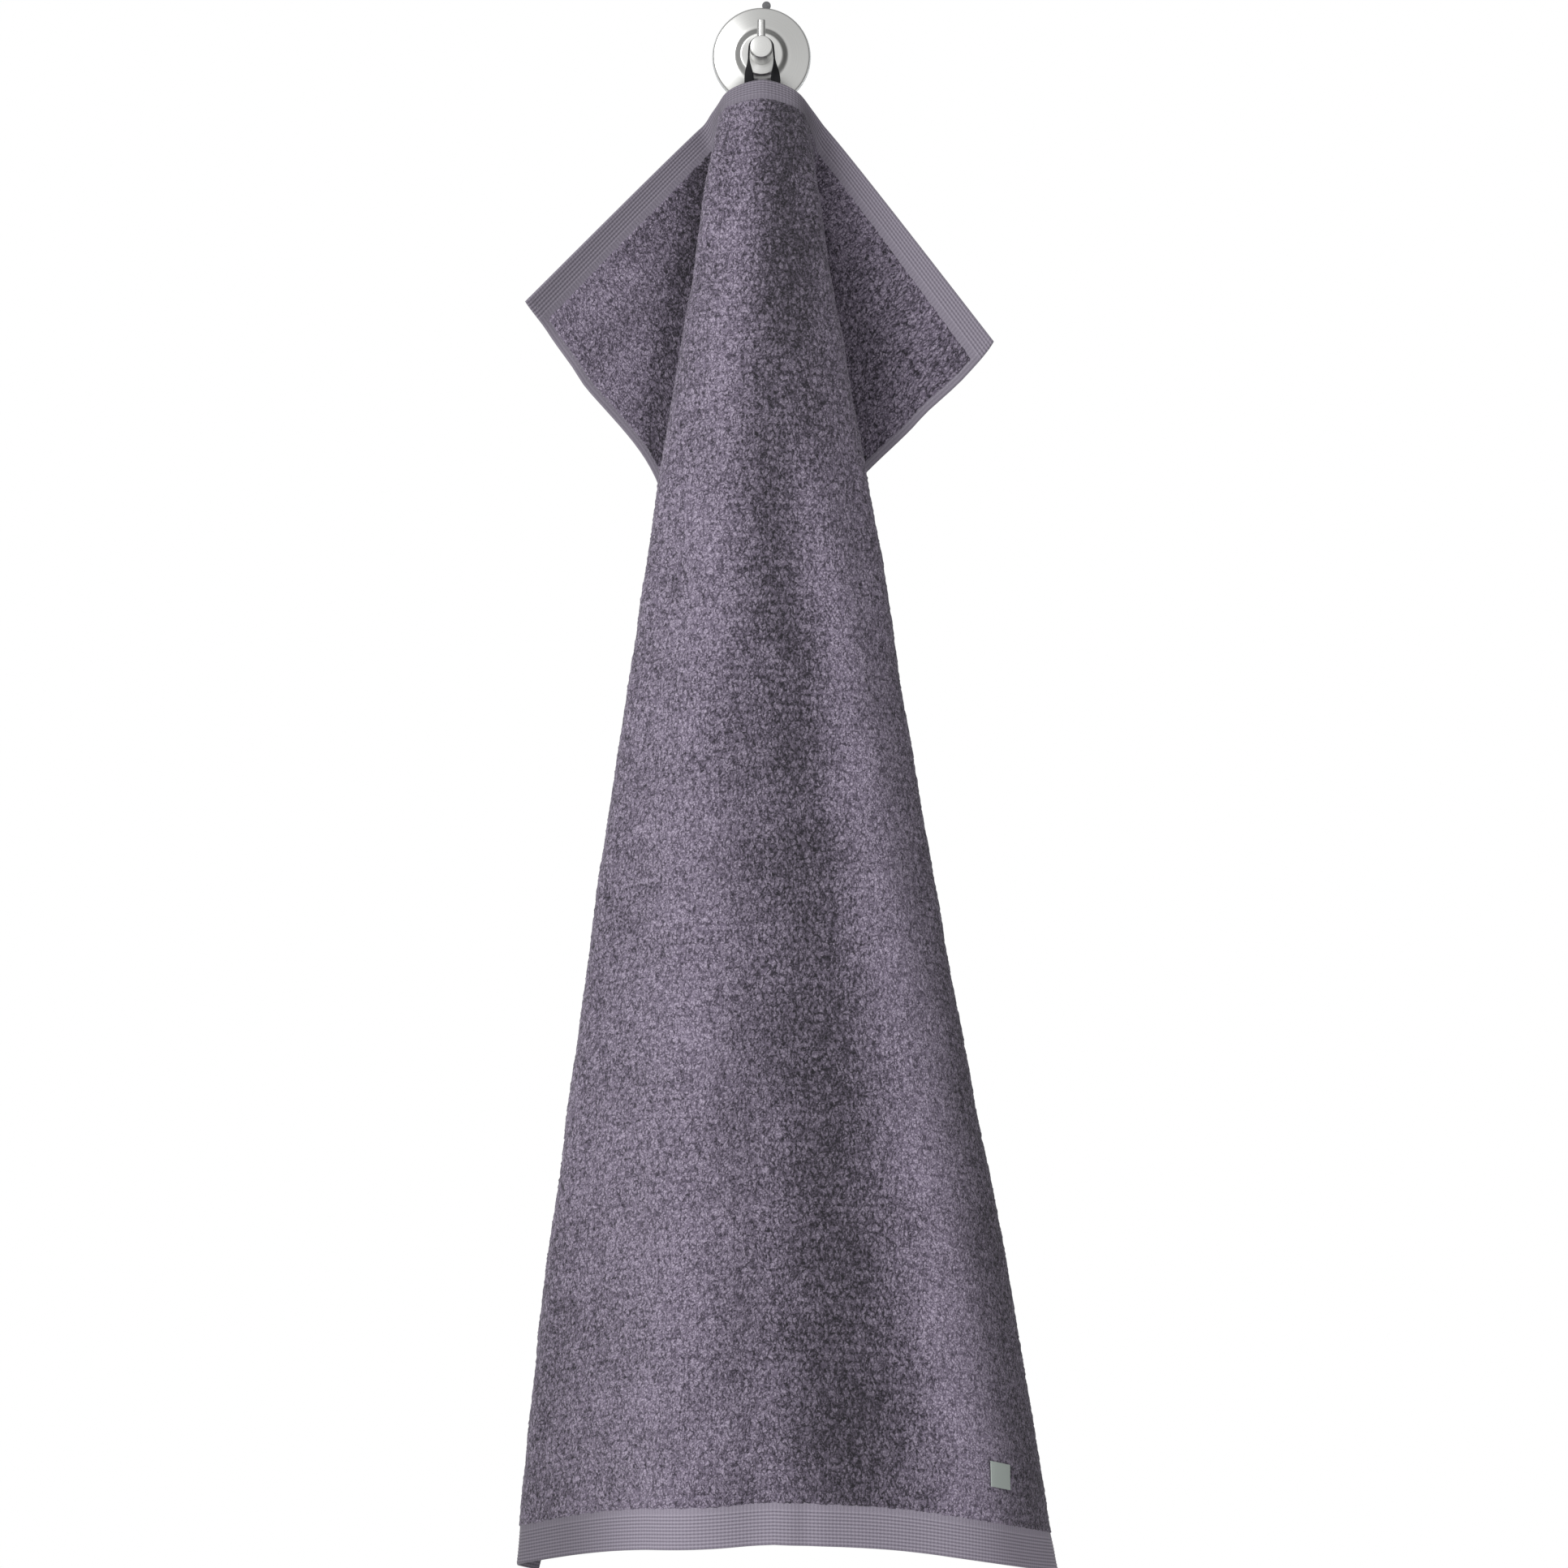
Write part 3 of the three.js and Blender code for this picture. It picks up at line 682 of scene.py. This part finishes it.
# %% The label
LABEL_BACK, LABEL_FACE = 2.5, 3.05
x = np.concatenate([[-1, -0.97], np.linspace(-0.9, 0.9, 19), [0.97, 1]])
points, normals = cloth_and_normals(LABEL_U + x * LABEL_W / 2, LABEL_DOWN + x * LABEL_H / 2)
X, Y = np.meshgrid(x, x)
label_x, label_y = X * LABEL_W / 2, Y * LABEL_H / 2
edge = np.minimum(1 - np.abs(X), 1 - np.abs(Y))
rise = LABEL_FACE + 0.25 * np.sqrt(np.clip(edge / 0.08, 0, 1)) - 0.25 * bell(edge, 0.14, 0.05)
offset = crease(LABEL_U + label_x, LABEL_DOWN + label_y)
label_uv = np.stack([0.01 + 0.24 * (X + 1), 0.5 + 0.49 * Y], axis=2)
label = closed_sheet(
    "woven_patch",
    points + normals * (offset + rise)[..., None],
    points + normals * (offset + LABEL_BACK)[..., None],
    label_uv,
    label_uv + np.array([0.5, 0]),
    vectors={"cloth": both_places(label_x, label_y)},
)
print("label:", len(label.data.polygons), "faces")

# %% [markdown]
# ## The hook
#
# The cap, the peg, the pin and the cup are all turned parts, so each begins as a circle
# that is extruded and scaled, ring after ring, as a lathe tool would follow the profile.
# A spin would do as well, but extruding keeps the rings in order and needs no merging.

# %% Turning tools
ROUND_SIDES = 96
KEPT_EDGE = 50


def turned(name, profile, start=(0, 0, 0), axis="Y", sides=ROUND_SIDES):
    """A round part: profile rows are (radius, place along the axis), in millimetres."""
    way = "XYZ".index(axis)
    turn = (math.pi / 2, 0, 0) if axis == "Y" else (0, 0, 0)
    radius, place = profile[0]
    at = [s * MM for s in start]
    at[way] += place * MM
    bpy.ops.object.select_all(action="DESELECT")
    bpy.ops.mesh.primitive_circle_add(vertices=sides, radius=radius * MM, location=at, rotation=turn,
                                      fill_type="TRIFAN")
    piece = bpy.context.object
    piece.name = piece.data.name = name
    bpy.ops.object.mode_set(mode="EDIT")
    bpy.ops.mesh.select_mode(type="EDGE")
    bpy.ops.mesh.select_all(action="SELECT")
    bpy.ops.mesh.region_to_loop()
    for next_radius, next_place in profile[1:]:
        step = [0, 0, 0]
        step[way] = (next_place - place) * MM
        bpy.ops.mesh.extrude_region_move(TRANSFORM_OT_translate={"value": step})
        bpy.ops.transform.resize(value=[next_radius / radius] * 3)
        radius, place = next_radius, next_place
    bpy.ops.mesh.edge_face_add()
    bpy.ops.mesh.poke()
    bpy.ops.mesh.select_all(action="SELECT")
    bpy.ops.mesh.normals_make_consistent(inside=False)
    bpy.ops.object.mode_set(mode="OBJECT")
    bpy.ops.object.transform_apply(location=True, rotation=True, scale=True)
    return piece


def smooth_hard(piece):
    """Smooth the round stretches of a hard part and keep its sharp edges."""
    bpy.ops.object.select_all(action="DESELECT")
    piece.select_set(True)
    bpy.context.view_layer.objects.active = piece
    bpy.ops.object.shade_smooth_by_angle(angle=math.radians(KEPT_EDGE))
    print(piece.name, len(piece.data.polygons), "faces")


print("each ring has", ROUND_SIDES, "points")

# %% Cap, cup, peg and pin
# Each row is a radius and a place along the axis, in millimetres, from the wall outwards.
CAP_RIM_ARC = np.radians(np.linspace(90, 35, 7))
rim = [(32.0 + 1.6 * math.sin(a), -3.9 - 1.9 * math.cos(a)) for a in CAP_RIM_ARC]
slope = [(r, -5.5 - 0.37 * (32.8 - r)) for r in np.linspace(32.2, 19.5, 8)]
# An S-curve from the slope up to the boss that carries the peg
fillet = [(19.2 - 5.6 * k, -10.55 - 4.65 * k * k * (3 - 2 * k)) for k in np.linspace(0.08, 1, 12)]
cap = turned("steel_cap", [
    (32.4, -2.5), (33.35, -2.5), (33.6, -2.75), *rim, *slope, *fillet, (8, -15.2),
])
cup = turned("clear_cup", [
    (33.9, 0), (34.2, -0.1), (34.2, -0.6), (33.9, -1.0), (32.6, -1.8), (30, -2.3),
])
peg = turned("steel_peg", [
    (PEG_RADIUS, -15.5), (PEG_RADIUS, -30), (PEG_RADIUS, -45.0), (7.5, -45.5), (7.2, -45.86), (6.8, -46),
])
pin = turned("steel_pin", [
    (2.85, 3.9), (2.85, 18.5), (2.75, 18.8), (2.5, 19.0),
], start=(0, -40, 0), axis="Z", sides=48)
for piece in (cap, cup, peg, pin):
    smooth_hard(piece)

# %% [markdown]
# ## The pull tab
#
# A small grey tongue at the cup's top lets air in under the cup. Only its round end shows,
# so it is a short cylinder, and a bevel rounds its rim as moulded soft plastic has it.

# %% The pull tab
TAB_RADIUS, TAB_THICK, TAB_EDGE = 3 * MM, 2 * MM, 0.5 * MM
TAB_AT = (3.4 * MM, -1 * MM, 35.6 * MM)
bpy.ops.object.select_all(action="DESELECT")
bpy.ops.mesh.primitive_cylinder_add(vertices=40, radius=TAB_RADIUS, depth=TAB_THICK,
                                    location=TAB_AT, rotation=(math.pi / 2, 0, 0))
tab = bpy.context.object
tab.name = tab.data.name = "pull_tab"
bpy.ops.object.transform_apply(location=True, rotation=True, scale=True)
soft_rim = tab.modifiers.new("soft rim", "BEVEL")
soft_rim.width, soft_rim.segments, soft_rim.limit_method = TAB_EDGE, 3, "ANGLE"
bpy.ops.object.modifier_apply(modifier=soft_rim.name)
smooth_hard(tab)

# %% [markdown]
# ## Finishes
#
# Every finish is built from nodes, with no picture files. The cloth finishes read the
# flat place that each point carries, so the weave follows the folds, and the hard ones
# read Object coordinates. The helpers below each add one node and link it up.


# %% Node helpers
def new_finish(name, roughness, metallic=0.0):
    """A new material, with its node tree and its shader."""
    made = bpy.data.materials.new(name)
    made.use_nodes = True
    tree = made.node_tree
    shader = tree.nodes["Principled BSDF"]
    shader.inputs["Roughness"].default_value = roughness
    shader.inputs["Metallic"].default_value = metallic
    return made, tree, shader


def feed(tree, socket, value):
    """Link an output to a socket, or set the socket to a number."""
    if hasattr(value, "is_linked"):
        tree.links.new(value, socket)
    else:
        socket.default_value = value


def maths(tree, operation, *values, kind="ShaderNodeMath"):
    node = tree.nodes.new(kind)
    node.operation = operation
    for socket, value in zip(node.inputs, values):
        feed(tree, socket, value)
    return node.outputs[0]


def map_range(tree, value, limits, smooth=False):
    """Limits are from_min, from_max, to_min, to_max."""
    node = tree.nodes.new("ShaderNodeMapRange")
    if smooth:
        node.interpolation_type = "SMOOTHSTEP"
    for name, number in zip(("From Min", "From Max", "To Min", "To Max"), limits):
        node.inputs[name].default_value = number
    tree.links.new(value, node.inputs["Value"])
    return node.outputs[0]


def attribute(tree, name, output="Fac"):
    node = tree.nodes.new("ShaderNodeAttribute")
    node.attribute_name = name
    return node.outputs[output]


def object_place(tree):
    return tree.nodes.new("ShaderNodeTexCoord").outputs["Object"]


def split_axes(tree, vector):
    node = tree.nodes.new("ShaderNodeSeparateXYZ")
    tree.links.new(vector, node.inputs[0])
    return node.outputs


def noise(tree, vector, scale, detail, rough=0.5):
    node = tree.nodes.new("ShaderNodeTexNoise")
    node.inputs["Scale"].default_value = scale
    node.inputs["Detail"].default_value = detail
    node.inputs["Roughness"].default_value = rough
    tree.links.new(vector, node.inputs["Vector"])
    return node.outputs


def ramp(tree, value, stops):
    """A colour that runs through the stops, each a place and a colour."""
    node = tree.nodes.new("ShaderNodeValToRGB")
    while len(node.color_ramp.elements) < len(stops):
        node.color_ramp.elements.new(0.5)
    for element, (place, colour) in zip(node.color_ramp.elements, stops):
        element.position = place
        element.color = (*colour, 1)
    tree.links.new(value, node.inputs[0])
    return node.outputs[0]


def toned(tree, colour, tone_and_painted_shading):
    """A colour made paler or darker by a tone round 1."""
    node = tree.nodes.new("ShaderNodeVectorMath")
    node.operation = "SCALE"
    tree.links.new(colour, node.inputs[0])
    tree.links.new(tone_and_painted_shading, node.inputs["Scale"])
    return node.outputs[0]


def bump(tree, shader, height, distance, strength):
    node = tree.nodes.new("ShaderNodeBump")
    node.inputs["Strength"].default_value = strength
    node.inputs["Distance"].default_value = distance
    tree.links.new(height, node.inputs["Height"])
    tree.links.new(node.outputs["Normal"], shader.inputs["Normal"])


# %% [markdown]
# ### Terry pile
#
# Seen close, terry is a crowd of small loops, and here and there the loops part and the
# ground shows. A Voronoi pattern gives the loops, with its places pushed about by noise so
# that no row shows, and the colour paints their tops pale and the gaps between them dark,
# as painted light and painted shade. A second, slower noise gives the partings, with painted
# shade where its value crosses the middle. The tone that each point carries, random patches
# and painted light and shade, makes the pile paler or darker, and opens or closes the
# partings with it.

# %% Terry pile
LOOPS_PER_METRE, PARTINGS_PER_METRE, WANDER_PER_METRE = 840, 330, 640
VECTOR = "ShaderNodeVectorMath"
terry, tree, shader = new_finish("terry_pile", 0.95)
place = attribute(tree, "cloth", "Vector")
pile_tone_and_painted_shading = attribute(tree, "tone_and_painted_shading")
wander = noise(tree, place, WANDER_PER_METRE, 1)
pushed = maths(tree, "MULTIPLY_ADD", wander["Color"], (0.0011, 0.0011, 0), place, kind=VECTOR)
loops = tree.nodes.new("ShaderNodeTexVoronoi")
loops.inputs["Scale"].default_value = LOOPS_PER_METRE
tree.links.new(pushed, loops.inputs["Vector"])
loop_top = map_range(tree, loops.outputs["Distance"], (0.74, 0.12, 0, 1), smooth=True)
stretched = maths(tree, "MULTIPLY", pushed, (1, 0.5, 1), kind=VECTOR)
parting = noise(tree, stretched, PARTINGS_PER_METRE, 1)
apart = maths(tree, "ABSOLUTE", maths(tree, "SUBTRACT", parting["Fac"], 0.5))
closed = map_range(tree, maths(tree, "MULTIPLY_ADD", pile_tone_and_painted_shading, 0.10, apart), (0.08, 0.21, 0, 1), smooth=True)
height = maths(tree, "MULTIPLY_ADD", closed, 0.42, maths(tree, "MULTIPLY", loop_top, 0.44))
# Painted light and shade: taller loops and loop tops paler, gaps and partings darker.
lightness = maths(tree, "MULTIPLY_ADD", attribute(tree, "pile"), 0.26, height)
yarn = ramp(tree, lightness, [
    (0.12, (0.010, 0.008, 0.014)), (0.55, (0.118, 0.097, 0.139)), (1.0, (0.325, 0.282, 0.362)),
])
tree.links.new(toned(tree, yarn, pile_tone_and_painted_shading), shader.inputs["Base Color"])
shader.inputs["Sheen Weight"].default_value = 0.25
shader.inputs["Sheen Roughness"].default_value = 0.5
shader.inputs["Sheen Tint"].default_value = (0.86, 0.80, 0.92, 1)
bump(tree, shader, height, 0.0012, 0.8)
for piece in pile:
    piece.data.materials.append(terry)
print(terry.name, len(tree.nodes), "nodes")

# %% [markdown]
# ### Woven ground and ribbed bands
#
# The bands are the same yarn with no loops, so they look smoother and paler. The mesh
# already has the ribs, and the material adds the small beads that the cross threads make
# along each rib, with a fine grain. The colour is painted paler on the ribs and beads and
# darker between them, as painted light and shade over the relief, and the tone adds painted
# shade where the bands turn away.

# %% Woven ground and ribbed bands
BEAD = 2.5 * MM


def wave(tree, along_axis, pitch):
    """A sine wave with the given pitch along one axis."""
    return maths(tree, "SINE", maths(tree, "MULTIPLY", along_axis, 2 * math.pi / pitch))


ribbed, tree, shader = new_finish("woven_ground", 0.85)
place = attribute(tree, "cloth", "Vector")
grain = noise(tree, place, 1300, 2)
beads = wave(tree, split_axes(tree, place)["X"], BEAD)
height = maths(tree, "MULTIPLY_ADD", beads, 0.2, grain["Fac"])
bump(tree, shader, height, 0.0004, 0.8)
# Painted light and shade: paler on the rib rows and bead tops, darker between them.
lightness = maths(tree, "MULTIPLY_ADD", attribute(tree, "rib"), 0.7, maths(tree, "MULTIPLY", height, 0.5))
yarn = ramp(tree, lightness, [
    (0.1, (0.120, 0.105, 0.137)), (0.5, (0.215, 0.192, 0.240)), (1.0, (0.34, 0.308, 0.372)),
])
tree.links.new(toned(tree, yarn, attribute(tree, "tone_and_painted_shading")), shader.inputs["Base Color"])
shader.inputs["Sheen Weight"].default_value = 0.15
shader.inputs["Sheen Roughness"].default_value = 0.4
towel.data.materials.append(ribbed)
print(ribbed.name, len(tree.nodes), "nodes")

# %% [markdown]
# ### Thread, tape and label
#
# The thread has a slight change of tone along it. Tape and label are plain weaves: two
# sine waves, one for each set of threads, multiplied into a chequer of small bumps. That
# is simpler than an image of a weave and stays sharp at any distance.


# %% Thread, tape and label
def grained(name, roughness, grain_scale, detail, dark, pale):
    """A finish whose colour runs between two tones in a fine grain."""
    made, tree, shader = new_finish(name, roughness)
    grain = noise(tree, object_place(tree), grain_scale, detail)["Fac"]
    tree.links.new(ramp(tree, grain, [(0.3, dark), (0.7, pale)]), shader.inputs["Base Color"])
    return made, tree, shader, grain


def plain_weave(name, roughness, warp_pitch, weft_pitch, dark, pale, relief):
    """Threads that cross over and under, with painted shade between them and painted light on top."""
    made, tree, shader = new_finish(name, roughness)
    axes = split_axes(tree, attribute(tree, "cloth", "Vector"))
    weave = maths(tree, "MULTIPLY", wave(tree, axes["X"], warp_pitch), wave(tree, axes["Y"], weft_pitch))
    # Painted shade between the threads, painted light on their tops.
    lightness = maths(tree, "ADD", maths(tree, "MULTIPLY", weave, 0.5), 0.5)
    tree.links.new(ramp(tree, lightness, [(0.0, dark), (1.0, pale)]), shader.inputs["Base Color"])
    bump(tree, shader, weave, 0.0002, relief)
    return made, shader


thread = grained("pale_thread", 0.7, 600, 2, (0.27, 0.26, 0.29), (0.40, 0.40, 0.42))[0]
stitching.data.materials.append(thread)
black, shader = plain_weave("black_tape", 0.75, 0.9 * MM, 1.1 * MM,
                            (0.005, 0.005, 0.006), (0.022, 0.021, 0.025), 0.8)
shader.inputs["Specular IOR Level"].default_value = 0.2
tape.data.materials.append(black)
pale_weave = plain_weave("woven_label", 0.7, 0.8 * MM, 0.8 * MM,
                         (0.30, 0.34, 0.32), (0.50, 0.55, 0.52), 0.7)[0]
label.data.materials.append(pale_weave)
print(thread.name, black.name, pale_weave.name)

# %% [markdown]
# ### Steel
#
# The cap is brushed in circles, so its scratches run round the axis and its highlights
# stretch across them into bright fans. Noise that reads only the distance from the axis
# gives the circles, and an anisotropic shader with a radial tangent gives the fans. The
# peg has the same circles without the fans, and the pin is nearly a mirror.


# %% Steel
def ring_place(tree, place):
    """The distance from the hook's axis, as a place for noise to read."""
    axes = split_axes(tree, place)
    squares = [maths(tree, "MULTIPLY", axes[name], axes[name]) for name in ("X", "Z")]
    join = tree.nodes.new("ShaderNodeCombineXYZ")
    tree.links.new(maths(tree, "SQRT", maths(tree, "ADD", *squares)), join.inputs[0])
    return join.outputs[0]


def steel(name, roughness, rings):
    """Stainless steel with fine scratches, in rings or in no direction."""
    made, tree, shader = new_finish(name, roughness, 1.0)
    place = object_place(tree)
    vector = ring_place(tree, place) if rings else place
    scratch = noise(tree, vector, 2600 if rings else 900, 3, 0.7)["Fac"]
    metal = ramp(tree, scratch, [(0.3, (0.56, 0.56, 0.55)), (0.7, (0.72, 0.72, 0.705))])
    tree.links.new(metal, shader.inputs["Base Color"])
    uneven = map_range(tree, scratch, (0, 1, roughness - 0.07, roughness + 0.09))
    tree.links.new(uneven, shader.inputs["Roughness"])
    bump(tree, shader, scratch, 0.00003, 0.4)
    return made, tree, shader


brushed, tree, shader = steel("brushed_steel", 0.30, True)
shader.inputs["Anisotropic"].default_value = 0.7
round_axis = tree.nodes.new("ShaderNodeTangent")
round_axis.direction_type, round_axis.axis = "RADIAL", "Y"
tree.links.new(round_axis.outputs[0], shader.inputs["Tangent"])
cap.data.materials.append(brushed)
peg.data.materials.append(steel("satin_steel", 0.28, True)[0])
pin.data.materials.append(steel("polished_steel", 0.12, False)[0])
print("steel on", cap.name, peg.name, pin.name)

# %% [markdown]
# ### Plastic
#
# The cup is clear soft plastic that lets most light through, with a faint ripple. The tab
# is dark grey with a fine moulded grain, so a little bump is enough.

# %% Clear cup and grey tab
clear, tree, shader = new_finish("clear_plastic", 0.12)
shader.inputs["Base Color"].default_value = (0.9, 0.92, 0.93, 1)
shader.inputs["Transmission Weight"].default_value = 0.85
shader.inputs["IOR"].default_value = 1.45
bump(tree, shader, noise(tree, object_place(tree), 220, 3)["Fac"], 0.0001, 0.3)
cup.data.materials.append(clear)

grey, tree, shader, grain = grained("grey_plastic", 0.55, 900, 3, (0.075, 0.075, 0.08), (0.12, 0.12, 0.125))
bump(tree, shader, grain, 0.00008, 0.5)
tab.data.materials.append(grey)
print("materials:", [m.name for m in bpy.data.materials])

# %% [markdown]
# ## On the frame
#
# Every piece rides on the one body of the model. A piece that stands for a solid replaces
# it, and the pile and the stitches are extra layers on the cloth.

# %% Put every piece on the frame
for piece, node, slot in (
    (towel, "towel", "terry_cloth"), (tape, "hanger_loop", "black_tape"),
    (label, "label", "woven_label"), (cap, "cap", "brushed_cap"), (cup, "suction_cup", "clear_cup"),
    (peg, "peg", "satin_peg"), (pin, "pin", "polished_pin"), (tab, "release_tab", "grey_tab"),
):
    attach(piece, "root")
    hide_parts(node)
for piece in (*pile, stitching):
    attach(piece, "root")
print("pieces:", 8 + len(pile) + 1)

# %% [markdown]
# ## The stage
#
# A plain pale floor lies well below the towel. The soft light comes from all round, most
# of it from the front and a little more from the left, with a weaker fill from behind. A
# ring of lamps could do that, but one sky that grows brighter towards the front is
# smoother on steel. One large lamp from the front left gives the folds their soft shadows.

# %% Floor
FLOOR_RADIUS, FLOOR_Z = 1.2, -1.3
bpy.ops.object.select_all(action="DESELECT")
bpy.ops.mesh.primitive_circle_add(vertices=96, radius=FLOOR_RADIUS, fill_type="NGON",
                                  location=(0, 0, FLOOR_Z))
floor = bpy.context.object
floor.name = "floor"
pale, tree, shader = new_finish("pale_floor", 0.8)
shader.inputs["Base Color"].default_value = (0.86, 0.86, 0.86, 1)
floor.data.materials.append(pale)
print("floor at", FLOOR_Z, "m")

# %% Soft light all round
world = bpy.data.worlds.new("studio")
bpy.context.scene.world = world
world.use_nodes = True
tree = world.node_tree
soft_light = tree.nodes["Background"]
soft_light.inputs["Color"].default_value = (1, 1, 1, 1)
way = split_axes(tree, tree.nodes.new("ShaderNodeTexCoord").outputs["Generated"])
front = map_range(tree, way["Y"], (0.1, -0.9, 0.24, 1.0))
leftward = maths(tree, "MULTIPLY_ADD", way["X"], -0.13, front)
behind = map_range(tree, way["Y"], (0.25, 1.0, 0.0, 0.55))
tree.links.new(maths(tree, "ADD", leftward, behind), soft_light.inputs["Strength"])
# The camera itself sees plain white behind the towel.
white = tree.nodes.new("ShaderNodeBackground")
white.inputs["Color"].default_value = (1, 1, 1, 1)
white.inputs["Strength"].default_value = 1.0
mix = tree.nodes.new("ShaderNodeMixShader")
tree.links.new(tree.nodes.new("ShaderNodeLightPath").outputs["Is Camera Ray"], mix.inputs[0])
tree.links.new(soft_light.outputs[0], mix.inputs[1])
tree.links.new(white.outputs[0], mix.inputs[2])
tree.links.new(mix.outputs[0], tree.nodes["World Output"].inputs["Surface"])
print("world:", len(tree.nodes), "nodes")

# %% Key light
KEY_PLACE, KEY_TARGET = np.array([-1.9, -2.1, 0.6]), np.array([0, -0.1, -0.5])
lamp = bpy.data.lights.new("key", "AREA")
lamp.size, lamp.energy = 1.6, 58
key = bpy.data.objects.new("key", lamp)
key.location = KEY_PLACE
aim = KEY_TARGET - KEY_PLACE
tilt = math.acos(-aim[2] / np.linalg.norm(aim))
key.rotation_euler = (tilt, 0, math.atan2(aim[1], aim[0]) - math.pi / 2)
bpy.context.scene.collection.objects.link(key)
bpy.context.scene.view_settings.view_transform = "Standard"
print("key light tilted %.0f degrees" % math.degrees(tilt))

# %% [markdown]
# ## The camera
#
# The photograph looks straight on from some way off, so the camera is level and three
# metres away. Its lens is chosen so that the towel is as large in the frame as it is there,
# and it is stated as a focal length in the photograph's own pixels.

# %% Camera
PHOTO_WIDTH_PX, FOCAL_PX, FILM_WIDTH = 1932, 5322, 36
camera = bpy.data.cameras.new("camera")
camera.sensor_width = FILM_WIDTH
camera.lens = FOCAL_PX / PHOTO_WIDTH_PX * FILM_WIDTH
eye = bpy.data.objects.new("camera", camera)
eye.location = (0.0156, -3.0, -0.5047)
eye.rotation_euler = (math.pi / 2, 0, 0)
bpy.context.scene.collection.objects.link(eye)
bpy.context.scene.camera = eye
print("lens %.0f mm" % camera.lens)
